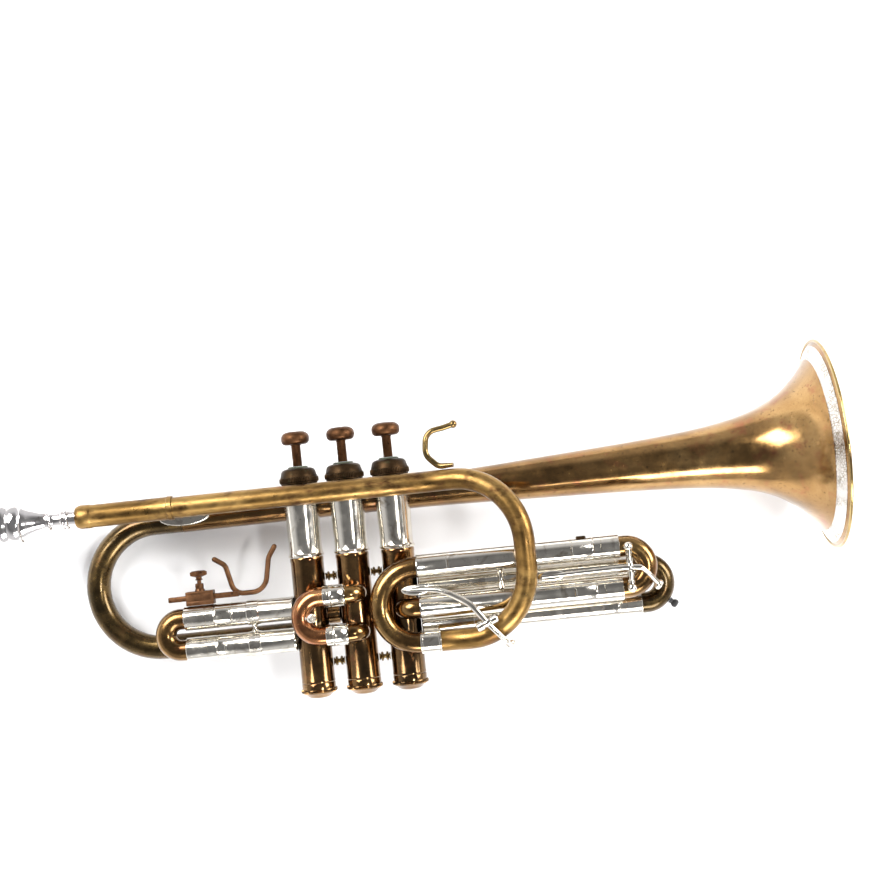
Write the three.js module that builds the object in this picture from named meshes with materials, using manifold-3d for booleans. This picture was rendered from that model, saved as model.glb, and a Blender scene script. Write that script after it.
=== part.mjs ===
// Long-model cornet with three piston valves, lying on its left side.
// Inside the instrument group: X runs to the bell, Y up the valves to the finger buttons, and Z out of the
// side that the right hand sees. Millimetres.

import * as THREE from 'three';
import { mergeVertices } from 'three/addons/utils/BufferGeometryUtils.js';
import Module from 'manifold-3d';

const wasm = await Module();
wasm.setup();

// Clearances
const gap = 0.3;
const slideClearance = 0.3;

// Tubing
const tubeRadius = 6;
const tubeWall = 0.6;
const sleeveWall = 0.6;
const sleeveRadius = tubeRadius + slideClearance + sleeveWall;
const tubeSides = 10;
const bendSteps = 4;

// Valves: casings stand in a row along X
const valveSpacing = 26.4;
const casingRadius = 9.7;
const casingWall = 0.8;
const casingBottom = -65;
const casingTop = 7;
const leadpipeHeight = 43;
const balusterTop = leadpipeHeight + tubeRadius;
const topCapHeight = 9.5;
const topCapRadius = valveSpacing / 2 - 1.8;
const bottomCapRadius = 10.5;
const bottomCapHeight = 9.3;
const pistonBottom = -45;
const pistonTop = 12;
const valveTravel = 13.5;
const stemRadius = 2.7;
const buttonRadius = 8.2;
const buttonHeight = 7.4;
const portRadius = 4.8;
const springRadius = 6;
const springWire = 0.55;
const springTurns = 4;
const valveSegments = 16;

// Planes along Z in which the tubes lie
const frontPlane = casingRadius + tubeRadius + 0.5;
const bowPlane = frontPlane + sleeveRadius + tubeRadius + 2.4;
const valvePlane = 0;

// Leadpipe and its bow
const receiverLeft = -153;
const receiverRight = -97.5;
const leadpipeLeft = -124.5;
const bowRight = 99;
const bowRadius = 38;
const bowBottom = -46.9;
const crookJoint = valveSpacing + casingRadius + 5.5;

// Main tuning slide, in the front plane
const tuningUpper = -4.3;
const tuningLower = -27.3;
const tuningSleeveRight = 137;
const tuningCrookRight = 154.8;
const sleeveLeft = valveSpacing + casingRadius + 1.3;
const engagedLength = 46;
const bareLeg = 3;

// Third-valve slide, in the plane of the valves
const thirdUpper = -16;
const thirdLower = -38;
const thirdSleeveRight = 149.5;
const thirdCrookRight = 165.6;

// First-valve slide, in the plane of the valves, towards the player
const firstUpper = -21.5;
const firstLower = -39.5;
const firstSleeveLeft = -82;
const firstCrookLeft = -103;

// Second-valve slide, in front of the first casing
const secondUpper = -15.7;
const secondLower = -37.8;
const secondTubeRadius = 5.4;
const secondSleeveRadius = secondTubeRadius + slideClearance + sleeveWall;
const secondSleeveLeft = -12.6;
const secondSleeveRight = -4.6;
const secondCrookLeft = -19.9;

// Bell and its bow
const bellRimX = 279.6;
const bellRimRadius = 61;
const bellTailX = -100;
const bellHeightAtTail = 35.4;
const bellPitch = THREE.MathUtils.degToRad(1);
const bellWall = 0.7;
const bellSegments = 28;
const bellBowRadius = 7;
const bellBowBottom = -38;
const bellBowLeft = -154;
const balusterClearance = 0.3192;

// Outer radius at a distance back from the rim: a slow taper, then the flare.
const bellCurve = new THREE.SplineCurve([
  [0, bellRimRadius], [4.2, 52.5], [11, 43], [20, 34.6], [32, 27], [48, 21.6], [72, 17.6],
  [110, 14.7], [165, 12.1], [232, 9.3], [300, 8], [380, 7.2],
].map(([back, radius]) => new THREE.Vector2(back, radius)));

function bellRadiusAt(x) {
  const line = bellCurve.getPoints(400);
  const back = Math.min((bellRimX - x) / Math.cos(bellPitch), line[line.length - 1].x);
  const next = line.findIndex((p) => p.x >= back);
  const [a, b] = [line[next - 1], line[next]];
  return a.y + ((b.y - a.y) * (back - a.x)) / (b.x - a.x);
}

// The bell tube passes behind the third baluster, where it is widest.
const bellPlane = -casingRadius - bellRadiusAt(valveSpacing + casingRadius) - balusterClearance;

// Mouthpiece
const mouthpieceLength = 66;
const shankInReceiver = 22;
const rimRadius = 13.6;

// Hand pieces
const hookWire = 1.7;
const saddleWire = 1.5;

const brass = () => new THREE.MeshStandardMaterial({ color: 0x8a6230, roughness: 0.32, metalness: 1 });
const rawBrass = () => new THREE.MeshStandardMaterial({ color: 0xb58a45, roughness: 0.45, metalness: 1 });
const nickel = () => new THREE.MeshStandardMaterial({ color: 0xcfcac0, roughness: 0.2, metalness: 1 });
const bronze = () => new THREE.MeshStandardMaterial({ color: 0x7a4a2c, roughness: 0.5, metalness: 1 });
const steel = () => new THREE.MeshStandardMaterial({ color: 0x8f8f8f, roughness: 0.4, metalness: 1 });
const rubber = () => new THREE.MeshStandardMaterial({ color: 0x141414, roughness: 0.7, metalness: 0 });

const instrument = new THREE.Group();

function add(name, geometry, material) {
  const mesh = new THREE.Mesh(geometry, material);
  mesh.name = name;
  instrument.add(mesh);
  return mesh;
}

// ---- Solids -------------------------------------------------------------------------------------

function toSolid(geometry) {
  const bare = geometry.clone();
  bare.deleteAttribute('normal');
  bare.deleteAttribute('uv');
  const merged = mergeVertices(bare, 1e-4);
  const vertProperties = new Float32Array(merged.attributes.position.array);
  const triVerts = new Uint32Array(merged.index.array);
  return new wasm.Manifold(new wasm.Mesh({ numProp: 3, vertProperties, triVerts }));
}

function toGeometry(solid) {
  const mesh = solid.getMesh();
  const geometry = new THREE.BufferGeometry();
  geometry.setAttribute('position', new THREE.BufferAttribute(mesh.vertProperties, 3));
  geometry.setIndex(new THREE.BufferAttribute(mesh.triVerts, 1));
  return geometry;
}

function joined(...geometries) {
  return toGeometry(geometries.map(toSolid).reduce((sum, next) => sum.add(next)));
}

function cut(geometry, ...tools) {
  return toGeometry(tools.map(toSolid).reduce((rest, tool) => rest.subtract(tool), toSolid(geometry)));
}

// ---- Tubes along a route ------------------------------------------------------------------------

// A curve that steps from one listed point to the next, so that straight runs need only their two ends.
class Route extends THREE.Curve {
  constructor(points) {
    super();
    this.points = points;
  }

  getPointAt(u, target = new THREE.Vector3()) {
    return target.copy(this.points[Math.round(u * (this.points.length - 1))]);
  }

  getTangentAt(u, target = new THREE.Vector3()) {
    const last = this.points.length - 1;
    const i = Math.round(u * last);
    const before = this.points[Math.max(i - 1, 0)];
    const after = this.points[Math.min(i + 1, last)];
    const arriving = i > 0 ? this.points[i].clone().sub(before).normalize() : new THREE.Vector3();
    const leaving = i < last ? after.clone().sub(this.points[i]).normalize() : new THREE.Vector3();
    return target.copy(arriving).add(leaving).normalize();
  }
}

// A run through the given corners, each rounded to its own bend radius.
function route(corners, radii, steps = bendSteps) {
  const at = corners.map((c) => new THREE.Vector3(...c));
  const points = [at[0]];
  for (let i = 1; i < at.length - 1; i += 1) {
    const into = at[i].clone().sub(at[i - 1]).normalize();
    const out = at[i + 1].clone().sub(at[i]).normalize();
    const turn = into.angleTo(out);
    const radius = Array.isArray(radii) ? radii[i - 1] : radii;
    const side = out.clone().addScaledVector(into, -into.dot(out)).normalize();
    const start = at[i].clone().addScaledVector(into, -radius * Math.tan(turn / 2));
    const count = Math.max(2, Math.round((steps * turn) / (Math.PI / 2)));
    for (let k = 0; k <= count; k += 1) {
      const angle = (turn * k) / count;
      const point = start.clone().addScaledVector(into, radius * Math.sin(angle));
      points.push(point.addScaledVector(side, radius * (1 - Math.cos(angle))));
    }
  }
  points.push(at[at.length - 1]);
  return new Route(points.filter((p, i) => i === 0 || p.distanceTo(points[i - 1]) > 0.01));
}

function polygon(Kind, radius, sides) {
  const points = [];
  for (let i = 0; i < sides; i += 1) {
    const angle = (2 * Math.PI * (i + 0.5)) / sides;
    points.push(new THREE.Vector2(radius * Math.cos(angle), radius * Math.sin(angle)));
  }
  return new Kind(points);
}

function sweep(path, outer, inner = 0, sides = tubeSides) {
  const section = polygon(THREE.Shape, outer, sides);
  if (inner > 0) {
    section.holes.push(polygon(THREE.Path, inner, sides));
  }
  const steps = path.points.length - 1;
  return new THREE.ExtrudeGeometry(section, { steps, bevelEnabled: false, extrudePath: path });
}

function straight(from, to, outer, inner = 0, sides = tubeSides) {
  const ends = [new THREE.Vector3(...from), new THREE.Vector3(...to)];
  return sweep(new Route(ends), outer, inner, sides);
}

function sleeve(left, right, height, plane, outer = sleeveRadius) {
  return straight([left, height, plane], [right, height, plane], outer, outer - sleeveWall, 12);
}

// ---- Turned pieces ------------------------------------------------------------------------------

// Profile points are [radius, distance along the axis].
function turned(profile, segments = valveSegments) {
  return new THREE.LatheGeometry(profile.map(([r, y]) => new THREE.Vector2(r, y)), segments);
}

function turnedAlongX(profile, segments) {
  return turned(profile.map(([r, x]) => [r, -x]).reverse(), segments).rotateZ(Math.PI / 2);
}

function ring(bottom, top, outer, inner) {
  return turned([[inner, bottom], [outer, bottom], [outer, top], [inner, top], [inner, bottom]]);
}

function rod(from, to, radius, sides = 10) {
  return straight(from, to, radius, 0, sides);
}

function ball(centre, radius) {
  return new THREE.SphereGeometry(radius, 10, 6).translate(...centre);
}

// ---- Mouthpiece, receiver, leadpipe -------------------------------------------------------------

function mouthpiece() {
  const rim = receiverLeft + shankInReceiver - mouthpieceLength;
  const end = rim + mouthpieceLength;
  const cupDepth = 12;
  const outside = [
    [rimRadius - 1.2, rim], [rimRadius, rim + 1.5], [rimRadius, rim + 4], [rimRadius - 0.8, rim + 5.5],
    [rimRadius - 0.8, rim + 12], [11, rim + 14.5], [7.8, rim + 20], [5.2, rim + 27], [6, rim + 28],
    [6, rim + 29], [4.4, rim + 30], [4.8, rim + 35], [6, rim + 36], [6, rim + 39], [4.9, rim + 40],
    [4.9, end - shankInReceiver], [4.4, end],
  ];
  const inside = [
    [3.6, end], [2, rim + 22], [2.6, rim + 16], [6, rim + cupDepth], [8.2, rim + 5], [rimRadius - 5, rim + 1],
    [rimRadius - 4, rim],
  ];
  const profile = [...outside, ...inside, outside[0]];
  return turnedAlongX(profile, 16).translate(0, leadpipeHeight, frontPlane);
}

function receiver() {
  const outer = tubeRadius + 0.9;
  const bore = tubeRadius + gap;
  const shankBore = 5.3;
  const profile = [
    [shankBore, receiverLeft], [outer - 1.1, receiverLeft], [outer, receiverLeft + 3],
    [outer, receiverLeft + 8], [outer - 0.3, receiverLeft + 9], [outer - 0.3, receiverRight - 3],
    [outer, receiverRight - 2.4], [outer, receiverRight], [bore, receiverRight],
    [bore, leadpipeLeft - gap], [shankBore, leadpipeLeft - gap], [shankBore, receiverLeft],
  ];
  return turnedAlongX(profile, 16).translate(0, leadpipeHeight, frontPlane);
}

function leadpipeRoute() {
  return route([
    [leadpipeLeft, leadpipeHeight, frontPlane],
    [53, leadpipeHeight, frontPlane],
    [bowRight, leadpipeHeight, bowPlane],
    [bowRight, bowBottom, bowPlane],
    [crookJoint + 12.4, bowBottom, frontPlane],
    [crookJoint + gap / 2, bowBottom, frontPlane],
  ], [40, bowRadius, bowRadius, 30]);
}

function leadpipe() {
  return sweep(leadpipeRoute(), tubeRadius, tubeRadius - tubeWall);
}

add('mouthpiece', mouthpiece(), nickel());
add('mouthpiece_receiver', receiver(), rawBrass());
add('leadpipe', leadpipe(), rawBrass());
add('bow_ferrule', sleeve(crookJoint - 5.8, crookJoint + 5.8, bowBottom, frontPlane), nickel());

// ---- Return crook and valve elbows --------------------------------------------------------------

// Outside of a casing, grown by the gap that a soldered tube keeps to it.
function casingTool(index) {
  const height = balusterTop - casingBottom;
  const tool = new THREE.CylinderGeometry(casingRadius + gap, casingRadius + gap, height, valveSegments);
  return tool.translate(index * valveSpacing, casingBottom + height / 2, 0);
}

function returnCrook() {
  const radius = (tuningUpper - bowBottom) / 2;
  const left = sleeveLeft - 1.5 - radius;
  const corners = [
    [crookJoint - gap / 2, bowBottom, frontPlane],
    [left, bowBottom, frontPlane],
    [left, tuningUpper, frontPlane],
    [sleeveLeft - gap, tuningUpper, frontPlane],
  ];
  return sweep(route(corners, radius - 0.05), tubeRadius, tubeRadius - tubeWall);
}

// A quarter bend from a tube in the front plane into the face of a casing.
function frontElbow(index, height, start, radius, bend) {
  const corner = index * valveSpacing + 1.8;
  const corners = [[start, height, frontPlane], [corner, height, frontPlane], [corner, height, casingRadius - 2]];
  const bent = sweep(route(corners, bend), radius, radius - tubeWall);
  return cut(bent, casingTool(index));
}

add('return_crook', returnCrook(), brass());
add('third_valve_inlet_elbow', frontElbow(1, tuningLower, sleeveLeft - gap, tubeRadius, 6.4), brass());

// ---- Slides: crook, legs and ferrules are one soldered piece --------------------------------------

// middle is where the legs end and the half circle starts. legEnd is how far the legs reach into their sleeves.
function slideCrook({ upper, lower, plane, middle, legEnd, ferrule, radius, ferruleRadius }) {
  const bend = (upper - lower) / 2;
  const outward = Math.sign(middle - legEnd);
  const far = middle + outward * bend;
  const corners = [[legEnd, upper, plane], [far, upper, plane], [far, lower, plane], [legEnd, lower, plane]];
  const bent = sweep(route(corners, bend - 0.02), radius, radius - tubeWall);
  const ferruleEnd = middle - outward * bareLeg;
  const ends = [Math.min(ferrule, ferruleEnd), Math.max(ferrule, ferruleEnd)];
  const rings = [upper, lower].map((height) => (
    straight([ends[0], height, plane], [ends[1], height, plane], ferruleRadius, radius - 0.3)
  ));
  return joined(bent, ...rings);
}

// The bar, soldered to both sleeves, that holds a pair of them parallel.
function sleeveBar(x, width, upper, lower, plane) {
  const inner = tubeRadius;
  const height = upper - lower - 2 * inner;
  return new THREE.BoxGeometry(width, height, 3).translate(x, (upper + lower) / 2, plane);
}

add('tuning_slide_sleeves', joined(
  sleeve(sleeveLeft, tuningSleeveRight, tuningUpper, frontPlane),
  sleeve(sleeveLeft, tuningSleeveRight, tuningLower, frontPlane),
  sleeveBar(84, 5, tuningUpper, tuningLower, frontPlane),
  new THREE.BoxGeometry(5.5, 1.8, 4).translate(131, tuningUpper + sleeveRadius + 0.4, frontPlane),
), nickel());
add('tuning_slide', slideCrook({
  upper: tuningUpper, lower: tuningLower, plane: frontPlane, middle: tuningCrookRight,
  legEnd: tuningSleeveRight - engagedLength, radius: tubeRadius, ferruleRadius: sleeveRadius,
  ferrule: tuningSleeveRight + gap,
}), brass());

const thirdCasing = valveSpacing + casingRadius + gap;
add('third_slide_sleeves', joined(
  sleeve(thirdCasing, thirdSleeveRight, thirdUpper, valvePlane),
  sleeve(thirdCasing, thirdSleeveRight, thirdLower, valvePlane),
  sleeveBar(62, 6, thirdUpper, thirdLower, valvePlane),
), nickel());
add('third_slide', slideCrook({
  upper: thirdUpper, lower: thirdLower, plane: valvePlane, middle: thirdCrookRight,
  legEnd: thirdSleeveRight - engagedLength, radius: tubeRadius, ferruleRadius: sleeveRadius,
  ferrule: thirdSleeveRight + gap,
}), brass());

const firstCasing = -valveSpacing - casingRadius - gap;
add('first_slide_sleeves', joined(
  sleeve(firstSleeveLeft, firstCasing, firstUpper, valvePlane),
  sleeve(firstSleeveLeft, firstCasing, firstLower, valvePlane),
  sleeveBar(-60, 7, firstUpper, firstLower, valvePlane),
), nickel());
add('first_slide', slideCrook({
  upper: firstUpper, lower: firstLower, plane: valvePlane, middle: firstCrookLeft,
  legEnd: firstCasing - 4, radius: tubeRadius, ferruleRadius: sleeveRadius, ferrule: firstSleeveLeft - gap,
}), brass());

for (const [place, height] of [['upper', secondUpper], ['lower', secondLower]]) {
  const tube = sleeve(secondSleeveLeft, secondSleeveRight, height, frontPlane, secondSleeveRadius);
  add(`second_slide_sleeve_${place}`, tube, nickel());
  const start = secondSleeveRight + gap;
  add(`second_valve_elbow_${place}`, frontElbow(0, height, start, secondTubeRadius, 5.6), brass());
}
add('second_slide', slideCrook({
  upper: secondUpper, lower: secondLower, plane: frontPlane, middle: secondCrookLeft,
  legEnd: secondSleeveRight - 0.5, radius: secondTubeRadius, ferruleRadius: secondSleeveRadius,
  ferrule: secondSleeveLeft - gap,
}), brass());

// ---- Pull knobs ---------------------------------------------------------------------------------

function pullKnob(profileScale, foot, direction) {
  const s = profileScale;
  const knob = turned([[0, 0], [1.3 * s, 0], [1.3 * s, 2 * s], [2.6 * s, 3 * s], [2.8 * s, 5 * s],
    [2.2 * s, 5.8 * s], [0, 6 * s]], 12);
  const up = new THREE.Vector3(0, 1, 0);
  const along = new THREE.Vector3(...direction).normalize();
  knob.applyQuaternion(new THREE.Quaternion().setFromUnitVectors(up, along));
  return knob.translate(...foot);
}

const secondMiddle = (secondUpper + secondLower) / 2;
const thirdMiddle = (thirdUpper + thirdLower) / 2;
const secondApex = secondCrookLeft - (secondUpper - secondLower) / 2;
const secondKnobReach = (secondTubeRadius + gap) * Math.SQRT1_2;
const secondKnobFoot = [secondApex + secondKnobReach, secondMiddle, frontPlane + secondKnobReach];
add('second_slide_knob', pullKnob(1, secondKnobFoot, [1, 0, 1]), nickel());
const knobAngle = THREE.MathUtils.degToRad(-40);
const knobReach = (thirdUpper - thirdLower) / 2 + tubeRadius + gap;
const thirdKnobFoot = [
  thirdCrookRight + knobReach * Math.cos(knobAngle), thirdMiddle + knobReach * Math.sin(knobAngle), valvePlane,
];
const thirdKnobDirection = [Math.cos(knobAngle), Math.sin(knobAngle), 0];
add('third_slide_knob', pullKnob(0.8, thirdKnobFoot, thirdKnobDirection), rubber());

// ---- Bell and bell bow --------------------------------------------------------------------------

function bell() {
  const length = (bellRimX - bellTailX) / Math.cos(bellPitch);
  const rings = 14;
  const outside = [];
  const inside = [];
  for (let i = 0; i <= rings; i += 1) {
    const p = bellCurve.getPoint(i / rings);
    const tangent = bellCurve.getTangent(i / rings);
    const back = i === rings ? length : p.x;
    outside.push([p.y, back]);
    const inward = new THREE.Vector2(tangent.y, -tangent.x).multiplyScalar(bellWall);
    inside.push([p.y + inward.y, i === rings ? length : Math.max(0, p.x + inward.x)]);
  }
  const bead = [[bellRimRadius - 1.2, -1], [bellRimRadius + 0.3, -1], [bellRimRadius + 0.7, 0.2]];
  const profile = [...outside.slice(1).reverse(), ...bead.reverse(), ...inside.slice(1)];
  profile.push(profile[0]);
  const body = turnedAlongX(profile.map(([r, back]) => [r, length - back]), bellSegments);
  body.rotateZ(bellPitch);
  return body.translate(bellTailX, bellHeightAtTail, bellPlane);
}

function bellBow() {
  const radius = (bellHeightAtTail - bellBowBottom) / 2;
  const inlet = -valveSpacing - 1.5;
  const corners = [
    [bellTailX - gap, bellHeightAtTail, bellPlane],
    [bellBowLeft, bellHeightAtTail, bellPlane],
    [bellBowLeft, bellBowBottom, bellPlane],
    [inlet, bellBowBottom, bellPlane],
    [inlet, bellBowBottom, 2 - casingRadius],
  ];
  const bent = sweep(route(corners, [radius - 0.02, radius - 0.02, 8]), bellBowRadius, bellBowRadius - 0.7);
  return cut(bent, casingTool(-1));
}

add('bell', bell(), brass());
add('bell_bow', bellBow(), brass());

// ---- Valves -------------------------------------------------------------------------------------

function radialPort(x, height, plane, direction) {
  const far = [x + 14 * direction[0], height, plane + 14 * direction[1]];
  const near = [x + 5 * direction[0], height, plane + 5 * direction[1]];
  return rod(near, far, portRadius, 8);
}

const right = [1, 0];
const left = [-1, 0];
const front = [0, 1];
const behind = [0, -1];
const crossoverHeight = (casingBottom + 11) / 2;
const ports = [
  [[firstUpper, left], [firstLower, left], [bellBowBottom, behind], [crossoverHeight, right]],
  [[secondUpper, front], [secondLower, front], [crossoverHeight, left], [crossoverHeight, right]],
  [[thirdUpper, right], [thirdLower, right], [tuningLower, front], [crossoverHeight, left]],
];

function casing(index) {
  const x = index * valveSpacing;
  const body = ring(casingBottom, casingTop, casingRadius, casingRadius - casingWall).translate(x, 0, 0);
  return cut(body, ...ports[index + 1].map(([height, direction]) => radialPort(x, height, 0, direction)));
}

function baluster() {
  const low = casingTop + gap;
  const r = casingRadius;
  const bore = casingRadius - casingWall;
  return turned([
    [bore, low], [r + 0.6, low], [r + 0.6, low + 1.6], [r - 0.1, low + 2.4], [r - 0.2, low + 8],
    [r + 0.5, balusterTop - 14], [r + 0.6, balusterTop], [bore, balusterTop], [bore, low],
  ]);
}

function topCap() {
  const low = balusterTop + gap;
  const top = balusterTop + topCapHeight;
  const hole = stemRadius + 0.5;
  return turned([
    [hole, low], [topCapRadius - 1, low], [topCapRadius, low + 1.2], [topCapRadius, low + 3.2],
    [topCapRadius - 0.6, low + 4.4], [topCapRadius - 1.6, top - 1.6], [topCapRadius - 3.4, top],
    [hole, top], [hole, low],
  ]);
}

function bottomCap() {
  const top = casingBottom - gap;
  const low = casingBottom - bottomCapHeight;
  const spigot = casingRadius - casingWall - gap;
  return turned([
    [0, low], [6.5, low + 0.6], [bottomCapRadius - 0.8, top - 6.2], [bottomCapRadius, top - 5.4],
    [bottomCapRadius, top - 0.8], [bottomCapRadius - 0.4, top], [spigot, top], [spigot, top + 1.2],
    [0, top + 1.2],
  ]);
}

function piston() {
  const radius = casingRadius - casingWall - gap;
  const body = turned([
    [0, pistonBottom], [radius, pistonBottom], [radius, pistonTop - 4], [radius - 2.4, pistonTop],
    [0, pistonTop],
  ]);
  const heights = [-33, -20, -7];
  const passages = heights.map((height, i) => {
    const angle = (i * Math.PI) / 3;
    const reach = [14 * Math.cos(angle), 14 * Math.sin(angle)];
    return rod([-reach[0], height, -reach[1]], [reach[0], height, reach[1]], portRadius - 0.4, 8);
  });
  return cut(body, ...passages);
}

function fingerButton() {
  const low = balusterTop + topCapHeight + valveTravel + 0.4;
  const top = low + buttonHeight;
  return turned([
    [0, pistonTop + gap], [stemRadius, pistonTop + gap], [stemRadius, low], [buttonRadius - 1.6, low],
    [buttonRadius - 0.3, low + 1.4], [buttonRadius, low + 3.6], [buttonRadius - 1, low + 5.6],
    [buttonRadius - 2.4, top - 0.6], [buttonRadius - 3.4, top], [0, top - 0.5],
  ], 18);
}

function valveSpring() {
  const low = casingBottom + 0.9 + springWire + gap;
  const high = pistonBottom - springWire - gap;
  const count = springTurns * 10;
  const points = [];
  for (let i = 0; i <= count; i += 1) {
    const angle = (2 * Math.PI * springTurns * i) / count;
    const height = low + ((high - low) * i) / count;
    points.push(new THREE.Vector3(springRadius * Math.cos(angle), height, springRadius * Math.sin(angle)));
  }
  return sweep(new Route(points), springWire, 0, 4);
}

for (const index of [-1, 0, 1]) {
  const number = index + 2;
  const x = index * valveSpacing;
  add(`valve_casing_${number}`, casing(index), brass());
  add(`valve_baluster_${number}`, baluster(), nickel()).position.x = x;
  add(`top_cap_${number}`, topCap(), bronze()).position.x = x;
  add(`bottom_cap_${number}`, bottomCap(), brass()).position.x = x;
  add(`piston_${number}`, piston(), nickel()).position.x = x;
  add(`finger_button_${number}`, fingerButton(), bronze()).position.x = x;
  add(`valve_spring_${number}`, valveSpring(), steel()).position.x = x;
}

// ---- Between the casings ------------------------------------------------------------------------

// A turned brace with two beads, between neighbouring casings.
function casingBrace(middle, height) {
  const half = valveSpacing / 2 - casingRadius - gap;
  const bead = 0.47 * half;
  const profile = [[0, -half], [2.2, -half], [1.4, 0.4 - half], [2.6, -bead], [1.2, 0], [2.6, bead],
    [1.4, half - 0.4], [2.2, half], [0, half]];
  return turnedAlongX(profile, 8).translate(middle, height, 0);
}

for (const [index, pair] of [[-0.5, '12'], [0.5, '23']]) {
  const middle = index * valveSpacing;
  const half = valveSpacing / 2 - casingRadius - gap;
  add(`casing_brace_upper_${pair}`, casingBrace(middle, -5), brass());
  add(`casing_brace_lower_${pair}`, casingBrace(middle, -54), brass());
  const from = [middle - half, crossoverHeight, 0];
  const to = [middle + half, crossoverHeight, 0];
  add(`crossover_tube_${pair}`, straight(from, to, tubeRadius - 0.4, tubeRadius - 1), brass());
}

// ---- Stays between leadpipe and bell tube -------------------------------------------------------

// A flat stay that lies against the leadpipe, in front, and reaches back to the bell tube.
function pipeStay(x, length) {
  const height = bellHeightAtTail + (x - bellTailX) * Math.tan(bellPitch);
  const plate = new THREE.CylinderGeometry(length / 2, length / 2, 3, 16).scale(1, 1, 0.32).rotateX(Math.PI / 2);
  plate.translate(x, height + 1.5, (frontPlane + bellPlane) / 2 + 4);
  const post = rod([x, height + 2, bellPlane], [x, height + 2, frontPlane + 2], 2.4, 10);
  const pipe = rod([x - length, leadpipeHeight, frontPlane], [x + length, leadpipeHeight, frontPlane],
    tubeRadius + 1.2, 12);
  const reach = bellRadiusAt(x + length / 2) + gap;
  const tail = rod([x - length, height, bellPlane], [x + length, height, bellPlane], reach, 16);
  return cut(joined(plate, post), pipe, tail);
}

add('rear_pipe_stay', pipeStay(-94.5, 29), nickel());
add('front_pipe_stay', pipeStay(valveSpacing + casingRadius + 9.9, 14), nickel());

// ---- Finger hook --------------------------------------------------------------------------------

function fingerHook() {
  const foot = leadpipeHeight + tubeRadius + hookWire + gap;
  const end = [66, foot + 23, frontPlane];
  const corners = [[64, foot, frontPlane + 3.7], [55.5, foot, frontPlane + 1], [48.5, foot + 7, frontPlane],
    [50, foot + 20, frontPlane], [60, foot + 21.5, frontPlane], end];
  const wire = sweep(route(corners, [6, 8, 7, 4], 5), hookWire, 0, 8);
  return joined(wire, ball(end, 2.3));
}

add('finger_hook', fingerHook(), brass());

// ---- Adjustable thumb saddle on the first slide -------------------------------------------------

const railHeight = firstUpper + sleeveRadius + 4.6;
const railHalf = 1.5;
const blockLeft = -98;
const blockRight = -82;
const blockMiddle = (blockLeft + blockRight) / 2;

function saddleBlock() {
  const low = firstUpper + sleeveRadius + gap;
  const high = railHeight + railHalf + 2.2;
  const block = new THREE.BoxGeometry(blockRight - blockLeft, high - low, 7.5);
  block.translate(blockMiddle, (low + high) / 2, valvePlane);
  const collar = new THREE.CylinderGeometry(2.8, 2.8, 5, 12).translate(blockMiddle, high + 2, valvePlane);
  const channel = new THREE.BoxGeometry(blockRight - blockLeft + 4, 2 * (railHalf + gap), 5 + 2 * gap);
  channel.translate(blockMiddle, railHeight, valvePlane);
  const thread = new THREE.CylinderGeometry(1.6, 1.6, 12, 12).translate(blockMiddle, high + 2, valvePlane);
  return cut(joined(block, collar), channel, thread);
}

function thumbSaddle() {
  const bar = new THREE.BoxGeometry(41, 2 * railHalf, 5).translate(-88, railHeight, valvePlane);
  const bottom = railHeight - railHalf + saddleWire;
  const corners = [[-80, 11, valvePlane], [-74, 7, valvePlane], [-70, bottom, valvePlane],
    [-52, bottom, valvePlane], [-48.5, 9, valvePlane], [-44.5, 15, valvePlane]];
  const wire = sweep(route(corners, [5, 7, 9, 8], 4), saddleWire, 0, 8);
  return joined(bar, wire);
}

function clampScrew() {
  const low = railHeight + railHalf + gap;
  const neck = low + 8;
  return turned([[0, low], [1.2, low], [1.2, neck], [2.2, neck + 0.4], [1.7, neck + 2], [4.6, neck + 2.6],
    [4.9, neck + 4.2], [4.6, neck + 5.6], [0, neck + 5.9]], 14).translate(blockMiddle, 0, valvePlane);
}

add('saddle_block', saddleBlock(), bronze());
add('thumb_saddle', thumbSaddle(), bronze());
add('clamp_screw', clampScrew(), bronze());

// ---- Water keys ---------------------------------------------------------------------------------

// A lever with a flat finger plate at one end and a cork cup at the other.
function keyLever(corners, radii, cupDirection, pivot, axis) {
  const wire = sweep(route(corners, radii, 3), 1.4, 0, 6);
  const [tipX, tipY, tipZ] = corners[0];
  const plate = new THREE.SphereGeometry(1, 10, 5).scale(7, 2.9, 1.1).translate(tipX + 4, tipY, tipZ);
  const end = new THREE.Vector3(...corners[corners.length - 1]);
  const cupFace = end.clone().addScaledVector(new THREE.Vector3(...cupDirection).normalize(), 2.6);
  const cup = straight(end.toArray(), cupFace.toArray(), 3);
  const half = new THREE.Vector3(...axis).normalize().multiplyScalar(1.9);
  const middle = new THREE.Vector3(...pivot);
  const barrel = straight(middle.clone().sub(half).toArray(), middle.clone().add(half).toArray(), 2.1);
  return joined(wire, plate, cup, barrel);
}

// Key on the leadpipe bow. Its hinge lies across the tube on the inner side of the bend.
const bowKeyPivot = [74.2, -37.9, bowPlane + 2.6];
const bowKeyAxis = [0.924, 0.383, 0];
add('bow_water_key', keyLever([
  [31, -16.3, frontPlane + 11], [50, -17, frontPlane + 14], [66, -26.5, bowPlane + 2.6], bowKeyPivot,
  [83.6, -48.8, bowPlane + 1.2], [86.6, -52.6, frontPlane + 10.4],
], [30, 20, 40, 4], [-0.5, 0.75, -0.4], bowKeyPivot, bowKeyAxis), nickel());

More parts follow.
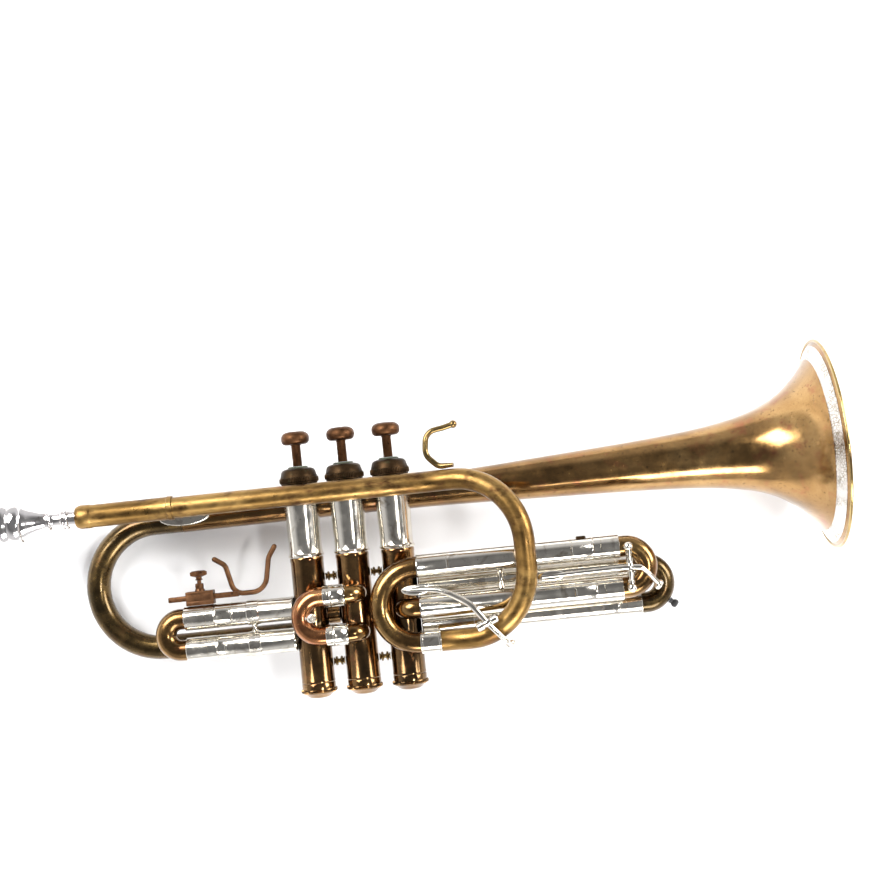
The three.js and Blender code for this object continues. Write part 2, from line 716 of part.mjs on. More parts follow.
function bowKeyPosts() {
  const axis = new THREE.Vector3(...bowKeyAxis).normalize();
  const pivot = new THREE.Vector3(...bowKeyPivot);
  const posts = [-1, 1].map((side) => {
    const inner = pivot.clone().addScaledVector(axis, side * (1.9 + gap));
    const outer = pivot.clone().addScaledVector(axis, side * 6.4);
    return straight(inner.toArray(), outer.toArray(), 2.1, 0, 12);
  });
  const feet = [-1, 1].map((side) => {
    const top = pivot.clone().addScaledVector(axis, side * 4.4);
    return straight(top.toArray(), [top.x, top.y, bowPlane - 6.5], 1.5, 0, 8);
  });
  const bridge = straight(
    [pivot.x - 4.6 * axis.x, pivot.y - 4.6 * axis.y, bowPlane - 5.6],
    [pivot.x + 4.6 * axis.x, pivot.y + 4.6 * axis.y, bowPlane - 5.6], 1.6, 0, 8,
  );
  return cut(joined(bridge, ...feet, ...posts), sweep(leadpipeRoute(), tubeRadius + gap));
}

add('bow_key_posts', bowKeyPosts(), nickel());

// Key on the tuning crook. Its hinge runs along Y between the two legs.
const crookMiddle = (tuningUpper + tuningLower) / 2;
const keyPlane = frontPlane + tubeRadius;
const crookKeyPivot = [tuningCrookRight + 1.5, crookMiddle, keyPlane + 2];
add('crook_water_key', keyLever([
  [107, -16.4, keyPlane + 3], [141.5, -15.8, keyPlane + 3.5], crookKeyPivot,
  [162.5, -16.4, keyPlane + 2.8], [166.5, -20.5, keyPlane + 2.6], [172.5, -28, keyPlane - 2.6],
], [60, 20, 4, 4], [-0.8, 0.6, -0.35], crookKeyPivot, [0, 1, 0]), nickel());

const crookBend = (tuningUpper - tuningLower) / 2;
const crookTool = sweep(route([
  [tuningCrookRight - 30, tuningUpper, frontPlane], [tuningCrookRight + crookBend, tuningUpper, frontPlane],
  [tuningCrookRight + crookBend, tuningLower, frontPlane], [tuningCrookRight - 30, tuningLower, frontPlane],
], crookBend - 0.02), tubeRadius + gap);
for (const [place, height] of [['upper', tuningUpper], ['lower', tuningLower]]) {
  const [x, , z] = crookKeyPivot;
  const inward = Math.sign(crookMiddle - height);
  const post = rod([x, crookMiddle - inward * (1.9 + gap), z], [x, height + inward * 2.6, z], 2);
  const foot = ball([x, height, z - 0.6], 2.7);
  add(`crook_key_post_${place}`, cut(joined(post, foot), crookTool), nickel());
}

// ---- Resting pose: on the bell rim and the outside of the bell bow ------------------------------

const rimHeight = bellHeightAtTail + (bellRimX - bellTailX) * Math.tan(bellPitch);
const rimDrop = bellRimRadius + 0.7 - bellPlane;
const bowDrop = bellBowRadius - bellPlane;
instrument.rotation.y = -Math.atan2(rimDrop - bowDrop, bellRimX - bellBowLeft);
instrument.position.set(0, -rimHeight, 0);

const cornet = new THREE.Group();
cornet.add(instrument);
cornet.updateMatrixWorld(true);
const bounds = new THREE.Box3().setFromObject(cornet, true);
const centre = bounds.getCenter(new THREE.Vector3());
instrument.position.x -= centre.x;
instrument.position.y -= centre.y;
instrument.position.z -= bounds.min.z;

export default cornet;
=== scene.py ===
"""A long-model cornet lying on its left side, seen from above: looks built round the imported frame.

Pieces are drawn in the maker's own directions, in millimetres: X runs to the bell, Y up the valves to the
finger buttons and Z out of the side that the right hand sees. finish_piece() lays them down in the frame.
"""

import math

import bmesh
import bpy
from mathutils import Matrix, Vector


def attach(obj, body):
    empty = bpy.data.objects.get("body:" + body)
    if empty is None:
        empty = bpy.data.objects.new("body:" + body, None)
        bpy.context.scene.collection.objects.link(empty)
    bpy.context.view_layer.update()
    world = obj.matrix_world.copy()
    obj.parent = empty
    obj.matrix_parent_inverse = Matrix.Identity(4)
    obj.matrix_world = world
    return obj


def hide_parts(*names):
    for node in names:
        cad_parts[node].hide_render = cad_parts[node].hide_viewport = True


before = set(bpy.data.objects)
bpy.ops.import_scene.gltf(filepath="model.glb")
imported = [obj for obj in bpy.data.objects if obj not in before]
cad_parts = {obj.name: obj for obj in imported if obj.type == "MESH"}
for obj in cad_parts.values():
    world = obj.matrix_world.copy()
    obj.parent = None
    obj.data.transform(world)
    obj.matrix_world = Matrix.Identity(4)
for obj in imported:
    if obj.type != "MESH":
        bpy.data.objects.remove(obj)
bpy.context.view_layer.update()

# How the instrument lies: tipped on its bell rim and bell bow
LEAN = Matrix(((0.992136, 0, -0.125161, 0), (0, 1, 0, 0), (0.125161, 0, 0.992136, 0), (0, 0, 0, 1)))
LYING = Matrix.Translation((-44.728563, -14.706528, 45.095416)) @ LEAN
TO_METRES = Matrix.Scale(0.001, 4)
ALONG_X = Matrix.Rotation(math.radians(90), 4, "Y")
ALONG_Y = Matrix.Rotation(math.radians(-90), 4, "X")
FULL_TURN = 2 * math.pi

# Tubing
GAP = 0.3
TUBE = 6.0
SLEEVE = 6.9
SMALL_TUBE = 5.4
SMALL_SLEEVE = 6.3
BOW_TUBE = 7.0
FRONT = 16.2
BOW_PLANE = 31.5
BELL_PLANE = -19.0
VALVE_PLANE = 0.0

# Valves
VALVE_SPACING = 26.4
CASING = 9.7
CASING_BORE = 8.9
CASING_LOW = -65.0
CASING_HIGH = 7.0
BALUSTER_HIGH = 49.0
CAP_HEIGHT = 9.5
CAP_RADIUS = 11.4
LOWER_CAP_RADIUS = 10.5
TRAVEL = 13.5

# Leadpipe and its bow
RECEIVER_LEFT = -153.0
RECEIVER_RIGHT = -97.5
LEADPIPE_LEFT = -124.5
LEADPIPE_Y = 43.0
BOW_RIGHT = 99.0
BOW_LOW = -46.9
CROOK_JOINT = 41.6

# Slides: heights of the two tubes, ends of the sleeves and centres of the crooks
TUNING = (-4.3, -27.3)
THIRD = (-16.0, -38.0)
FIRST = (-21.5, -39.5)
SECOND = (-15.7, -37.8)
SLEEVES_LEFT = 37.4
TUNING_RIGHT = 137.0
TUNING_CROOK = 154.8
THIRD_LEFT = 36.6
THIRD_RIGHT = 149.5
THIRD_CROOK = 165.6
FIRST_LEFT = -82.0
FIRST_CROOK = -103.0
SECOND_LEFT = -12.6
SECOND_RIGHT = -4.6
SECOND_CROOK = -19.9
ENGAGED = 46.0

# Bell
RIM_X = 279.6
RIM_RADIUS = 61.0
TAIL_X = -100.0
TAIL_Y = 35.4
BELL_PITCH = math.radians(1)
BELL_WALL = 0.7
BELL_BOW_LEFT = -154.0
BELL_BOW_LOW = -38.0


# ---- Materials ------------------------------------------------------------------------------------


class Finish:
    """A node material that is built up from patches, spots, streaks and scratches."""

    def __init__(self, name, metallic=1.0):
        self.material = bpy.data.materials.new(name)
        self.material.use_nodes = True
        self.tree = self.material.node_tree
        self.shader = self.tree.nodes["Principled BSDF"]
        self.shader.inputs["Metallic"].default_value = metallic
        self.coordinates = self.node("ShaderNodeTexCoord").outputs["Object"]
        self.colour = None
        self.height = None

    def node(self, kind, **settings):
        made = self.tree.nodes.new(kind)
        for key, value in settings.items():
            setattr(made, key, value)
        return made

    def link(self, start, end):
        self.tree.links.new(start, end)

    def noise(self, scale, detail=5.0, stretch=(1, 1, 1), turn=(0, 0, 0), roughness=0.6, distortion=0.0):
        mapping = self.node("ShaderNodeMapping")
        mapping.inputs["Scale"].default_value = stretch
        mapping.inputs["Rotation"].default_value = turn
        made = self.node("ShaderNodeTexNoise")
        made.inputs["Scale"].default_value = scale
        made.inputs["Detail"].default_value = detail
        made.inputs["Roughness"].default_value = roughness
        made.inputs["Distortion"].default_value = distortion
        self.link(self.coordinates, mapping.inputs["Vector"])
        self.link(mapping.outputs["Vector"], made.inputs["Vector"])
        return made.outputs["Fac"]

    def ramp(self, value, stops):
        made = self.node("ShaderNodeValToRGB")
        elements = made.color_ramp.elements
        while len(elements) < len(stops):
            elements.new(0.5)
        for element, (place, colour) in zip(elements, stops):
            element.position = place
            element.color = (*colour, 1) if len(colour) == 3 else colour
        self.link(value, made.inputs["Fac"])
        return made.outputs["Color"]

    def mask(self, value, low, high):
        made = self.node("ShaderNodeMapRange")
        made.inputs["From Min"].default_value = low
        made.inputs["From Max"].default_value = high
        self.link(value, made.inputs["Value"])
        return made.outputs["Result"]

    def patches(self, scale, stops, **options):
        self.colour = self.ramp(self.noise(scale, **options), stops)

    # Mixes a colour in where the mask is high: real stains and specks, and also the bell's painted dark reflection.
    def stain_and_shade(self, mask, colour, blend="MIX"):
        made = self.node("ShaderNodeMix", data_type="RGBA", blend_type=blend)
        self.link(mask, made.inputs["Factor"])
        self.link(self.colour, made.inputs[6])
        made.inputs[7].default_value = (*colour, 1)
        self.colour = made.outputs[2]

    def roughness(self, value, low, high):
        made = self.node("ShaderNodeMapRange")
        made.inputs["From Min"].default_value = 0.3
        made.inputs["From Max"].default_value = 0.7
        made.inputs["To Min"].default_value = low
        made.inputs["To Max"].default_value = high
        self.link(value, made.inputs["Value"])
        self.link(made.outputs["Result"], self.shader.inputs["Roughness"])

    def bump(self, value, strength, depth=0.0002):
        made = self.node("ShaderNodeBump")
        made.inputs["Strength"].default_value = strength
        made.inputs["Distance"].default_value = depth
        self.link(value, made.inputs["Height"])
        if self.height:
            self.link(self.height, made.inputs["Normal"])
        self.height = made.outputs["Normal"]

    def done(self):
        self.link(self.colour, self.shader.inputs["Base Color"])
        if self.height:
            self.link(self.height, self.shader.inputs["Normal"])
        return self.material


def patinated_brass(name, dark, middle, light, red, rough, spread=38, painted_reflection_span=None):
    """Lacquered brass gone brown: broad clouds, red freckles and dark specks. It may get a painted dark reflection
    towards the player.
    """
    f = Finish(name)
    f.patches(spread, [(0.30, dark), (0.48, middle), (0.70, light)], detail=7, distortion=0.5)
    f.stain_and_shade(f.mask(f.noise(95, detail=6, distortion=0.3), 0.56, 0.74), red)
    f.stain_and_shade(f.mask(f.noise(520, detail=4), 0.60, 0.72), tuple(0.35 * c for c in middle))
    if painted_reflection_span:
        # Painted dark reflection: multiplies the colour darker towards the player, below the given span of object X.
        split = f.node("ShaderNodeSeparateXYZ")
        f.link(f.coordinates, split.inputs["Vector"])
        f.stain_and_shade(f.mask(split.outputs["X"], *painted_reflection_span), (0.50, 0.47, 0.44), "MULTIPLY")
    f.roughness(f.noise(140, detail=5), *rough)
    f.bump(f.noise(300, detail=6), 0.10)
    f.bump(f.noise(60, detail=2), 0.06, 0.0008)
    f.shader.inputs["Coat Weight"].default_value = 0.25
    f.shader.inputs["Coat Roughness"].default_value = 0.12
    return f.done()


def handled_brass():
    """Bare brass of the leadpipe: yellow, with brown streaks along its length."""
    f = Finish("handled_brass")
    f.patches(30, [(0.30, (0.10, 0.055, 0.018)), (0.47, (0.22, 0.125, 0.038)), (0.68, (0.40, 0.25, 0.085))],
              stretch=(0.5, 1.6, 1.6), detail=8, distortion=0.6)
    f.stain_and_shade(f.mask(f.noise(120, detail=7, stretch=(0.5, 1, 1)), 0.52, 0.68), (0.085, 0.042, 0.016))
    f.stain_and_shade(f.mask(f.noise(70, detail=5), 0.60, 0.76), (0.20, 0.085, 0.036))
    f.roughness(f.noise(160, detail=6), 0.24, 0.52)
    f.bump(f.noise(450, detail=6), 0.18)
    f.bump(f.noise(90, detail=3), 0.08, 0.0006)
    return f.done()


def nickel(name="bright_nickel", tint=(0.74, 0.70, 0.62), tarnish=(0.24, 0.18, 0.11), rough=(0.07, 0.24)):
    """Polished nickel silver with fine scratches, brown bloom and a few dark pits."""
    f = Finish(name)
    f.patches(45, [(0.30, tuple(0.86 * c for c in tint)), (0.65, tint)], detail=5)
    f.stain_and_shade(f.mask(f.noise(75, detail=8, distortion=0.8), 0.56, 0.80), tarnish)
    f.stain_and_shade(f.mask(f.noise(650, detail=3), 0.68, 0.76), tuple(0.5 * c for c in tarnish))
    f.roughness(f.noise(210, detail=6), *rough)
    f.bump(f.noise(500, detail=2, stretch=(0.08, 1, 1), turn=(0, 0, 0.35)), 0.07, 0.0001)
    f.bump(f.noise(500, detail=2, stretch=(1, 0.08, 1), turn=(0, 0, -0.5)), 0.05, 0.0001)
    f.bump(f.noise(80, detail=2), 0.05, 0.0006)
    return f.done()


def engraved_nickel():
    """The band behind the rim: scrolls of small cuts, with old polish left in them."""
    f = Finish("engraved_nickel")
    f.patches(60, [(0.35, (0.62, 0.60, 0.57)), (0.62, (0.84, 0.82, 0.79))], detail=5)
    cells = f.node("ShaderNodeTexVoronoi", feature="DISTANCE_TO_EDGE")
    cells.inputs["Scale"].default_value = 520
    f.link(f.coordinates, cells.inputs["Vector"])
    place = f.mask(f.noise(55, detail=2), 0.44, 0.56)
    cuts = f.node("ShaderNodeMath", operation="MULTIPLY")
    f.link(f.mask(cells.outputs["Distance"], 0.14, 0.04), cuts.inputs[0])
    f.link(place, cuts.inputs[1])
    f.stain_and_shade(cuts.outputs["Value"], (0.36, 0.31, 0.24))
    f.roughness(f.noise(240, detail=6), 0.16, 0.36)
    f.bump(cuts.outputs["Value"], -0.3, 0.0002)
    f.bump(f.noise(420, detail=5), 0.08)
    return f.done()


def dull_bronze(name, dark, light, green=0.0):
    """Bare metal with a dry brown skin and green in the corners."""
    f = Finish(name)
    f.patches(110, [(0.30, dark), (0.68, light)], detail=8, distortion=0.4)
    f.stain_and_shade(f.mask(f.noise(420, detail=5), 0.58, 0.72), tuple(0.4 * c for c in dark))
    if green:
        f.stain_and_shade(f.mask(f.noise(150, detail=5), 0.66 - green, 0.82), (0.07, 0.085, 0.045))
    f.roughness(f.noise(260, detail=6), 0.34, 0.62)
    f.bump(f.noise(700, detail=6), 0.25)
    f.bump(f.noise(130, detail=3), 0.10, 0.0005)
    return f.done()


def drawn_wire():
    f = Finish("drawn_wire")
    f.patches(400, [(0.3, (0.30, 0.29, 0.28)), (0.7, (0.50, 0.49, 0.47))])
    f.roughness(f.noise(900), 0.25, 0.4)
    f.bump(f.noise(1200, detail=3), 0.1, 0.0001)
    return f.done()


def black_rubber():
    f = Finish("black_rubber", metallic=0.0)
    f.patches(300, [(0.3, (0.008, 0.008, 0.009)), (0.7, (0.022, 0.021, 0.020))])
    f.roughness(f.noise(500), 0.42, 0.65)
    f.bump(f.noise(900, detail=5), 0.3)
    return f.done()


def felt():
    f = Finish("green_felt", metallic=0.0)
    f.patches(500, [(0.3, (0.020, 0.028, 0.014)), (0.7, (0.070, 0.080, 0.042))], detail=8)
    f.roughness(f.noise(600), 0.85, 1.0)
    f.bump(f.noise(1500, detail=8, roughness=0.8), 0.9, 0.0003)
    f.shader.inputs["Sheen Weight"].default_value = 0.4
    return f.done()


def cork():
    f = Finish("key_cork", metallic=0.0)
    f.patches(600, [(0.35, (0.16, 0.09, 0.045)), (0.65, (0.42, 0.28, 0.16))], detail=8)
    f.roughness(f.noise(600), 0.7, 0.9)
    f.bump(f.noise(1100, detail=6), 0.7, 0.0003)
    return f.done()


DARK_BROWN = (0.060, 0.037, 0.016)
# The bell's brass carries a painted dark reflection towards its tail end.
BELL_BRASS = patinated_brass("bell_brass", (0.17, 0.095, 0.032), (0.33, 0.185, 0.065), (0.47, 0.29, 0.115),
                             (0.30, 0.115, 0.05), (0.12, 0.28), spread=30, painted_reflection_span=(0.12, -0.02))
BOW_BRASS = patinated_brass("bow_brass", (0.045, 0.031, 0.012), (0.095, 0.060, 0.022), (0.19, 0.120, 0.043),
                            (0.110, 0.052, 0.022), (0.16, 0.36))
CROOK_BRASS = patinated_brass("crook_brass", (0.085, 0.044, 0.015), (0.21, 0.115, 0.038), (0.36, 0.22, 0.078),
                              (0.20, 0.072, 0.029), (0.12, 0.30))
RED_BRASS = patinated_brass("red_crook_brass", (0.24, 0.09, 0.032), (0.42, 0.185, 0.075), (0.52, 0.28, 0.12),
                            (0.36, 0.10, 0.045), (0.14, 0.30))
CASING_BRASS = patinated_brass("casing_brass", DARK_BROWN, (0.16, 0.088, 0.032), (0.34, 0.19, 0.07),
                               (0.22, 0.085, 0.035), (0.08, 0.22))
RIM_BRASS = patinated_brass("rim_brass", (0.24, 0.150, 0.055), (0.38, 0.26, 0.10), (0.52, 0.38, 0.16),
                            (0.28, 0.14, 0.055), (0.10, 0.22))
LEADPIPE_BRASS = handled_brass()
NICKEL = nickel()
MOUTHPIECE_SILVER = nickel("mouthpiece_silver", (0.84, 0.81, 0.79), (0.34, 0.26, 0.21), (0.06, 0.20))
BAND_NICKEL = engraved_nickel()
CAP_BRONZE = dull_bronze("cap_bronze", (0.020, 0.012, 0.006), (0.060, 0.034, 0.016), green=0.06)
BUTTON_BRONZE = dull_bronze("button_bronze", (0.060, 0.028, 0.013), (0.15, 0.068, 0.030))
HAND_BRONZE = dull_bronze("hand_bronze", (0.075, 0.036, 0.017), (0.19, 0.092, 0.045))
HOOK_BRASS = patinated_brass("hook_brass", (0.095, 0.060, 0.022), (0.20, 0.135, 0.050), (0.31, 0.22, 0.092),
                             (0.26, 0.13, 0.05), (0.18, 0.34))
WIRE = drawn_wire()
RUBBER = black_rubber()
FELT = felt()
CORK = cork()


# ---- Making meshes --------------------------------------------------------------------------------


def finish_piece(name, shape, material, body, nodes=(), sharp=32):
    """Lays the shape down in the frame as a piece that rides on a body."""
    bmesh.ops.transform(shape, matrix=TO_METRES @ LYING, verts=shape.verts)
    for face in shape.faces:
        face.smooth = True
    for edge in shape.edges:
        edge.smooth = edge.calc_face_angle(0) < math.radians(sharp)
    mesh = bpy.data.meshes.new(name)
    shape.to_mesh(mesh)
    shape.free()
    mesh.materials.append(material)
    piece = bpy.data.objects.new(name, mesh)
    bpy.context.scene.collection.objects.link(piece)
    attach(piece, body)
    if nodes:
        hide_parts(*nodes)
    return piece


def add_part(shape, part, place):
    """Moves a finished part to its place and puts it into the shape. Each part keeps its own closed skin."""
    bmesh.ops.remove_doubles(part, verts=part.verts, dist=1e-4)
    bmesh.ops.recalc_face_normals(part, faces=part.faces)
    bmesh.ops.transform(part, matrix=place, verts=part.verts)
    carrier = bpy.data.meshes.new("carrier")
    part.to_mesh(carrier)
    part.free()
    shape.from_mesh(carrier)
    bpy.data.meshes.remove(carrier)
    return shape


def turn_profile(shape, profile, place, steps=64, closed=True):
    """Spins a profile of (radius, distance) pairs about Z, then places it."""
    part = bmesh.new()
    corners = [part.verts.new((radius, 0, along)) for radius, along in profile]
    pairs = list(zip(corners, corners[1:]))
    if closed:
        pairs.append((corners[-1], corners[0]))
    edges = [part.edges.new(pair) for pair in pairs]
    bmesh.ops.spin(part, geom=corners + edges, cent=(0, 0, 0), axis=(0, 0, 1), angle=FULL_TURN, steps=steps,
                   use_merge=True)
    return add_part(shape, part, place)


def turned(profile, place, steps=64, closed=True):
    return turn_profile(bmesh.new(), profile, place, steps, closed)


def at(x, y, z, facing=None):
    """A placement for a turned shape: its own Z axis points the way it faces."""
    spot = Matrix.Translation((x, y, z))
    if facing is None:
        return spot
    return spot @ Vector((0, 0, 1)).rotation_difference(Vector(facing)).to_matrix().to_4x4()


def path(corners, radii, step=7.5):
    """Points along straight runs, with each corner rounded to its own radius."""
    spots = [Vector(corner) for corner in corners]
    points = [spots[0]]
    for i in range(1, len(spots) - 1):
        into = (spots[i] - spots[i - 1]).normalized()
        out = (spots[i + 1] - spots[i]).normalized()
        turn = into.angle(out)
        radius = radii[i - 1]
        side = (out - into * into.dot(out)).normalized()
        start = spots[i] - into * (radius * math.tan(turn / 2))
        count = max(3, round(math.degrees(turn) / step))
        for k in range(count + 1):
            angle = turn * k / count
            points.append(start + into * (radius * math.sin(angle)) + side * (radius * (1 - math.cos(angle))))
    points.append(spots[-1])
    return [p for i, p in enumerate(points) if i == 0 or (p - points[i - 1]).length > 0.01]


def stations(points, widths):
    """A placement with a size for every point, turned as little as possible from one to the next."""
    placed = []
    turn = None
    for i, point in enumerate(points):
        before = points[max(i - 1, 0)]
        after = points[min(i + 1, len(points) - 1)]
        along = ((point - before).normalized() + (after - point).normalized()).normalized()
        if turn is None:
            turn = Vector((0, 0, 1)).rotation_difference(along)
        else:
            turn = (turn @ Vector((0, 0, 1))).rotation_difference(along) @ turn
        wide, thick = widths[i] if isinstance(widths[i], tuple) else (widths[i], widths[i])
        size = Matrix.Diagonal((wide, thick, 1, 1))
        placed.append(Matrix.Translation(point) @ turn.to_matrix().to_4x4() @ size)
    return placed


def outer_edges(made, verts):
    """The edges of an extrusion that join its new corners to each other."""
    known = set(verts)
    edges = [item for item in made if isinstance(item, bmesh.types.BMEdge)]
    return [edge for edge in edges if all(vert in known for vert in edge.verts)]


def sweep(shape, placed, sides=28, hollow=None):
    """Draws a circle through every placement. A hollow tube gets an inner wall, and others flat ends."""
    part = bmesh.new()
    ring = bmesh.ops.create_circle(part, segments=sides, radius=1)["verts"]
    first = list(part.edges)
    bmesh.ops.transform(part, matrix=placed[0], verts=ring)
    where = placed[0]
    edges = first
    route = list(placed[1:])
    if hollow:
        inward = Matrix.Diagonal((hollow, hollow, 1, 1))
        route += [spot @ inward for spot in reversed(placed)]
    for spot in route:
        made = bmesh.ops.extrude_edge_only(part, edges=edges)["geom"]
        verts = [item for item in made if isinstance(item, bmesh.types.BMVert)]
        edges = outer_edges(made, verts)
        bmesh.ops.transform(part, matrix=spot @ where.inverted(), verts=verts)
        where = spot
    if hollow:
        bmesh.ops.bridge_loops(part, edges=first + edges)
    else:
        bmesh.ops.holes_fill(part, edges=first)
        bmesh.ops.holes_fill(part, edges=edges)
    return add_part(shape, part, Matrix.Identity(4))


def tube(points, radius, hollow=None, sides=28):
    widths = [radius] * len(points) if isinstance(radius, (int, float)) else radius
    return sweep(bmesh.new(), stations(points, widths), sides, hollow)


def rounded_plate(shape, size, place, rounding=0.5, segments=3):
    """A block with all its edges rounded."""
    part = bmesh.new()
    bmesh.ops.create_cube(part, size=1, matrix=Matrix.Diagonal((*size, 1)))
    bmesh.ops.bevel(part, geom=list(part.edges), offset=rounding, offset_type="OFFSET", segments=segments,
                    profile=0.5, affect="EDGES", material=-1)
    return add_part(shape, part, place)


def knob_ball(shape, radius, place, steps=24):
    """A round ball for the end of a stem."""
    profile = [(0, -radius)]
    profile += [(radius * math.sin(math.radians(a)), -radius * math.cos(math.radians(a))) for a in range(18, 180, 18)]
    profile.append((0, radius))
    return turn_profile(shape, profile, place, steps, closed=False)


def knurled_band(shape, radius, depth, low, high, place, teeth=72, bevel=0.5):
    """A band with milled teeth, which sits round a cap."""
    part = bmesh.new()
    ring = bmesh.ops.create_circle(part, segments=teeth * 4, radius=radius)["verts"]
    for i, vert in enumerate(ring):
        if i % 4 < 2:
            vert.co *= (radius - depth) / radius
    first = list(part.edges)
    shrink = 1 - bevel / radius
    start = Matrix.Translation((0, 0, low)) @ Matrix.Diagonal((shrink, shrink, 1, 1))
    bmesh.ops.transform(part, matrix=start, verts=ring)
    edges = first
    for rise, grow in ((bevel, 1 / shrink), (high - low - 2 * bevel, 1), (bevel, shrink)):
        made = bmesh.ops.extrude_edge_only(part, edges=edges)["geom"]
        verts = [item for item in made if isinstance(item, bmesh.types.BMVert)]
        edges = outer_edges(made, verts)
        step = Matrix.Translation((0, 0, rise)) @ Matrix.Diagonal((grow, grow, 1, 1))
        bmesh.ops.transform(part, matrix=step, verts=verts)
    inner = []
    for loop in (first, edges):
        made = bmesh.ops.extrude_edge_only(part, edges=loop)["geom"]
        verts = [item for item in made if isinstance(item, bmesh.types.BMVert)]
        inner += outer_edges(made, verts)
        bmesh.ops.transform(part, matrix=Matrix.Diagonal((0.86, 0.86, 1, 1)), verts=verts)
    bmesh.ops.bridge_loops(part, edges=inner)
    return add_part(shape, part, place)


# ---- Mouthpiece, receiver and leadpipe -------------------------------------------------------------

MOUTHPIECE_LENGTH = 66
SHANK_IN_RECEIVER = 22
RIM_FACE = RECEIVER_LEFT + SHANK_IN_RECEIVER - MOUTHPIECE_LENGTH


def mouthpiece():
    outside = [(9.6, 0), (10.6, -0.02), (11.8, 0.1), (12.6, 0.6), (13.2, 1.4), (13.6, 2.6), (13.6, 4.0), (13.2, 5.0),
               (12.6, 5.7), (12.4, 6.3), (12.7, 7.0), (12.9, 8.6), (12.9, 10.6), (12.5, 12.2), (11.7, 13.4),
               (11.1, 13.8), (11.1, 14.3), (10.9, 15.0), (9.7, 17.0), (8.2, 19.4), (6.9, 22.0), (5.8, 24.8),
               (5.1, 27.0), (5.2, 27.4), (5.9, 27.7), (6.0, 28.2), (5.9, 28.8), (5.0, 29.1), (4.4, 29.8), (4.4, 31.5),
               (4.5, 33.5), (4.8, 35.2), (5.8, 35.7), (6.0, 36.3), (5.9, 36.9), (5.2, 37.2), (5.2, 37.8), (5.9, 38.1),
               (6.0, 38.7), (5.8, 39.3), (5.0, 39.7), (4.9, 40.6), (4.9, 44), (4.4, 66)]
    inside = [(3.6, 66), (3.0, 44), (2.0, 22), (2.2, 18), (3.4, 14.5), (5.6, 11.8), (7.2, 9), (8.0, 6), (8.4, 3.4),
              (8.7, 1.4), (9.1, 0.5)]
    shape = turned(outside + inside, at(RIM_FACE, LEADPIPE_Y, FRONT) @ ALONG_X, 72)
    finish_piece("mouthpiece_body", shape, MOUTHPIECE_SILVER, "body", ["mouthpiece"], sharp=50)


def receiver():
    left, right, step = RECEIVER_LEFT, RECEIVER_RIGHT, LEADPIPE_LEFT - GAP
    wall = [(5.3, left), (5.9, left), (6.5, left + 1), (6.9, left + 2.6), (6.9, left + 7.8), (6.7, left + 8.4),
            (6.55, left + 9), (6.55, right - 4), (6.6, right - 3), (6.9, right - 2.6), (6.9, right - 0.2),
            (6.75, right), (6.3, right), (6.3, step), (5.3, step)]
    shape = turned(wall, at(0, LEADPIPE_Y, FRONT) @ ALONG_X)
    finish_piece("receiver_tube", shape, LEADPIPE_BRASS, "body", ["mouthpiece_receiver"])


def leadpipe():
    corners = [(LEADPIPE_LEFT, LEADPIPE_Y, FRONT), (53, LEADPIPE_Y, FRONT), (BOW_RIGHT, LEADPIPE_Y, BOW_PLANE),
               (BOW_RIGHT, BOW_LOW, BOW_PLANE), (54, BOW_LOW, FRONT), (CROOK_JOINT + 0.15, BOW_LOW, FRONT)]
    shape = tube(path(corners, [40, 38, 38, 30], 5), TUBE, hollow=0.9)
    finish_piece("leadpipe_and_bow", shape, LEADPIPE_BRASS, "body", ["leadpipe"])
    ferrule = [(6.3, 35.8), (6.75, 35.8), (6.9, 36), (6.9, 36.9), (6.75, 37.1), (6.75, 46.1), (6.9, 46.3),
               (6.9, 47.2), (6.75, 47.4), (6.3, 47.4)]
    shape = turned(ferrule, at(0, BOW_LOW, FRONT) @ ALONG_X)
    finish_piece("bow_ferrule_ring", shape, NICKEL, "body", ["bow_ferrule"])


# ---- Crooks, elbows and slides ---------------------------------------------------------------------


def return_crook():
    bend = (TUNING[0] - BOW_LOW) / 2
    left = SLEEVES_LEFT - 1.5 - bend
    corners = [(CROOK_JOINT - 0.15, BOW_LOW, FRONT), (left, BOW_LOW, FRONT), (left, TUNING[0], FRONT),
               (SLEEVES_LEFT - GAP, TUNING[0], FRONT)]
    shape = tube(path(corners, [bend - 0.05] * 2, 5), TUBE, hollow=0.9)
    finish_piece("return_crook_tube", shape, CROOK_BRASS, "body", ["return_crook"])


def elbow(name, node, index, height, start, radius, bend):
    corner = index * VALVE_SPACING + 1.8
    reach = math.sqrt((CASING + GAP) ** 2 - 1.8 ** 2) - 0.4
    corners = [(start, height, FRONT), (corner, height, FRONT), (corner, height, reach)]
    shape = tube(path(corners, [bend], 6), radius)
    finish_piece(name, shape, CROOK_BRASS, "body", [node])


def sleeve(name, left, right, height, plane, radius, seams, nodes=(), material=None):
    """A drawn tube with a raised lip at both ends and a fine seam wherever a ring was soldered on."""
    outer = radius
    skin = radius - 0.12
    bore = radius - 0.6
    profile = [(bore, left), (skin, left), (outer, left + 0.25), (outer, left + 1.1), (skin, left + 1.3)]
    for seam in sorted(seams):
        profile += [(skin, seam - 0.55), (outer, seam - 0.4), (outer, seam - 0.12), (skin - 0.25, seam - 0.08),
                    (skin - 0.25, seam + 0.08), (outer, seam + 0.12), (outer, seam + 0.4), (skin, seam + 0.55)]
    profile += [(skin, right - 1.3), (outer, right - 1.1), (outer, right - 0.25), (skin, right), (bore, right)]
    shape = turned(profile, at(0, height, plane) @ ALONG_X, 48)
    finish_piece(name, shape, material or NICKEL, "body", nodes)


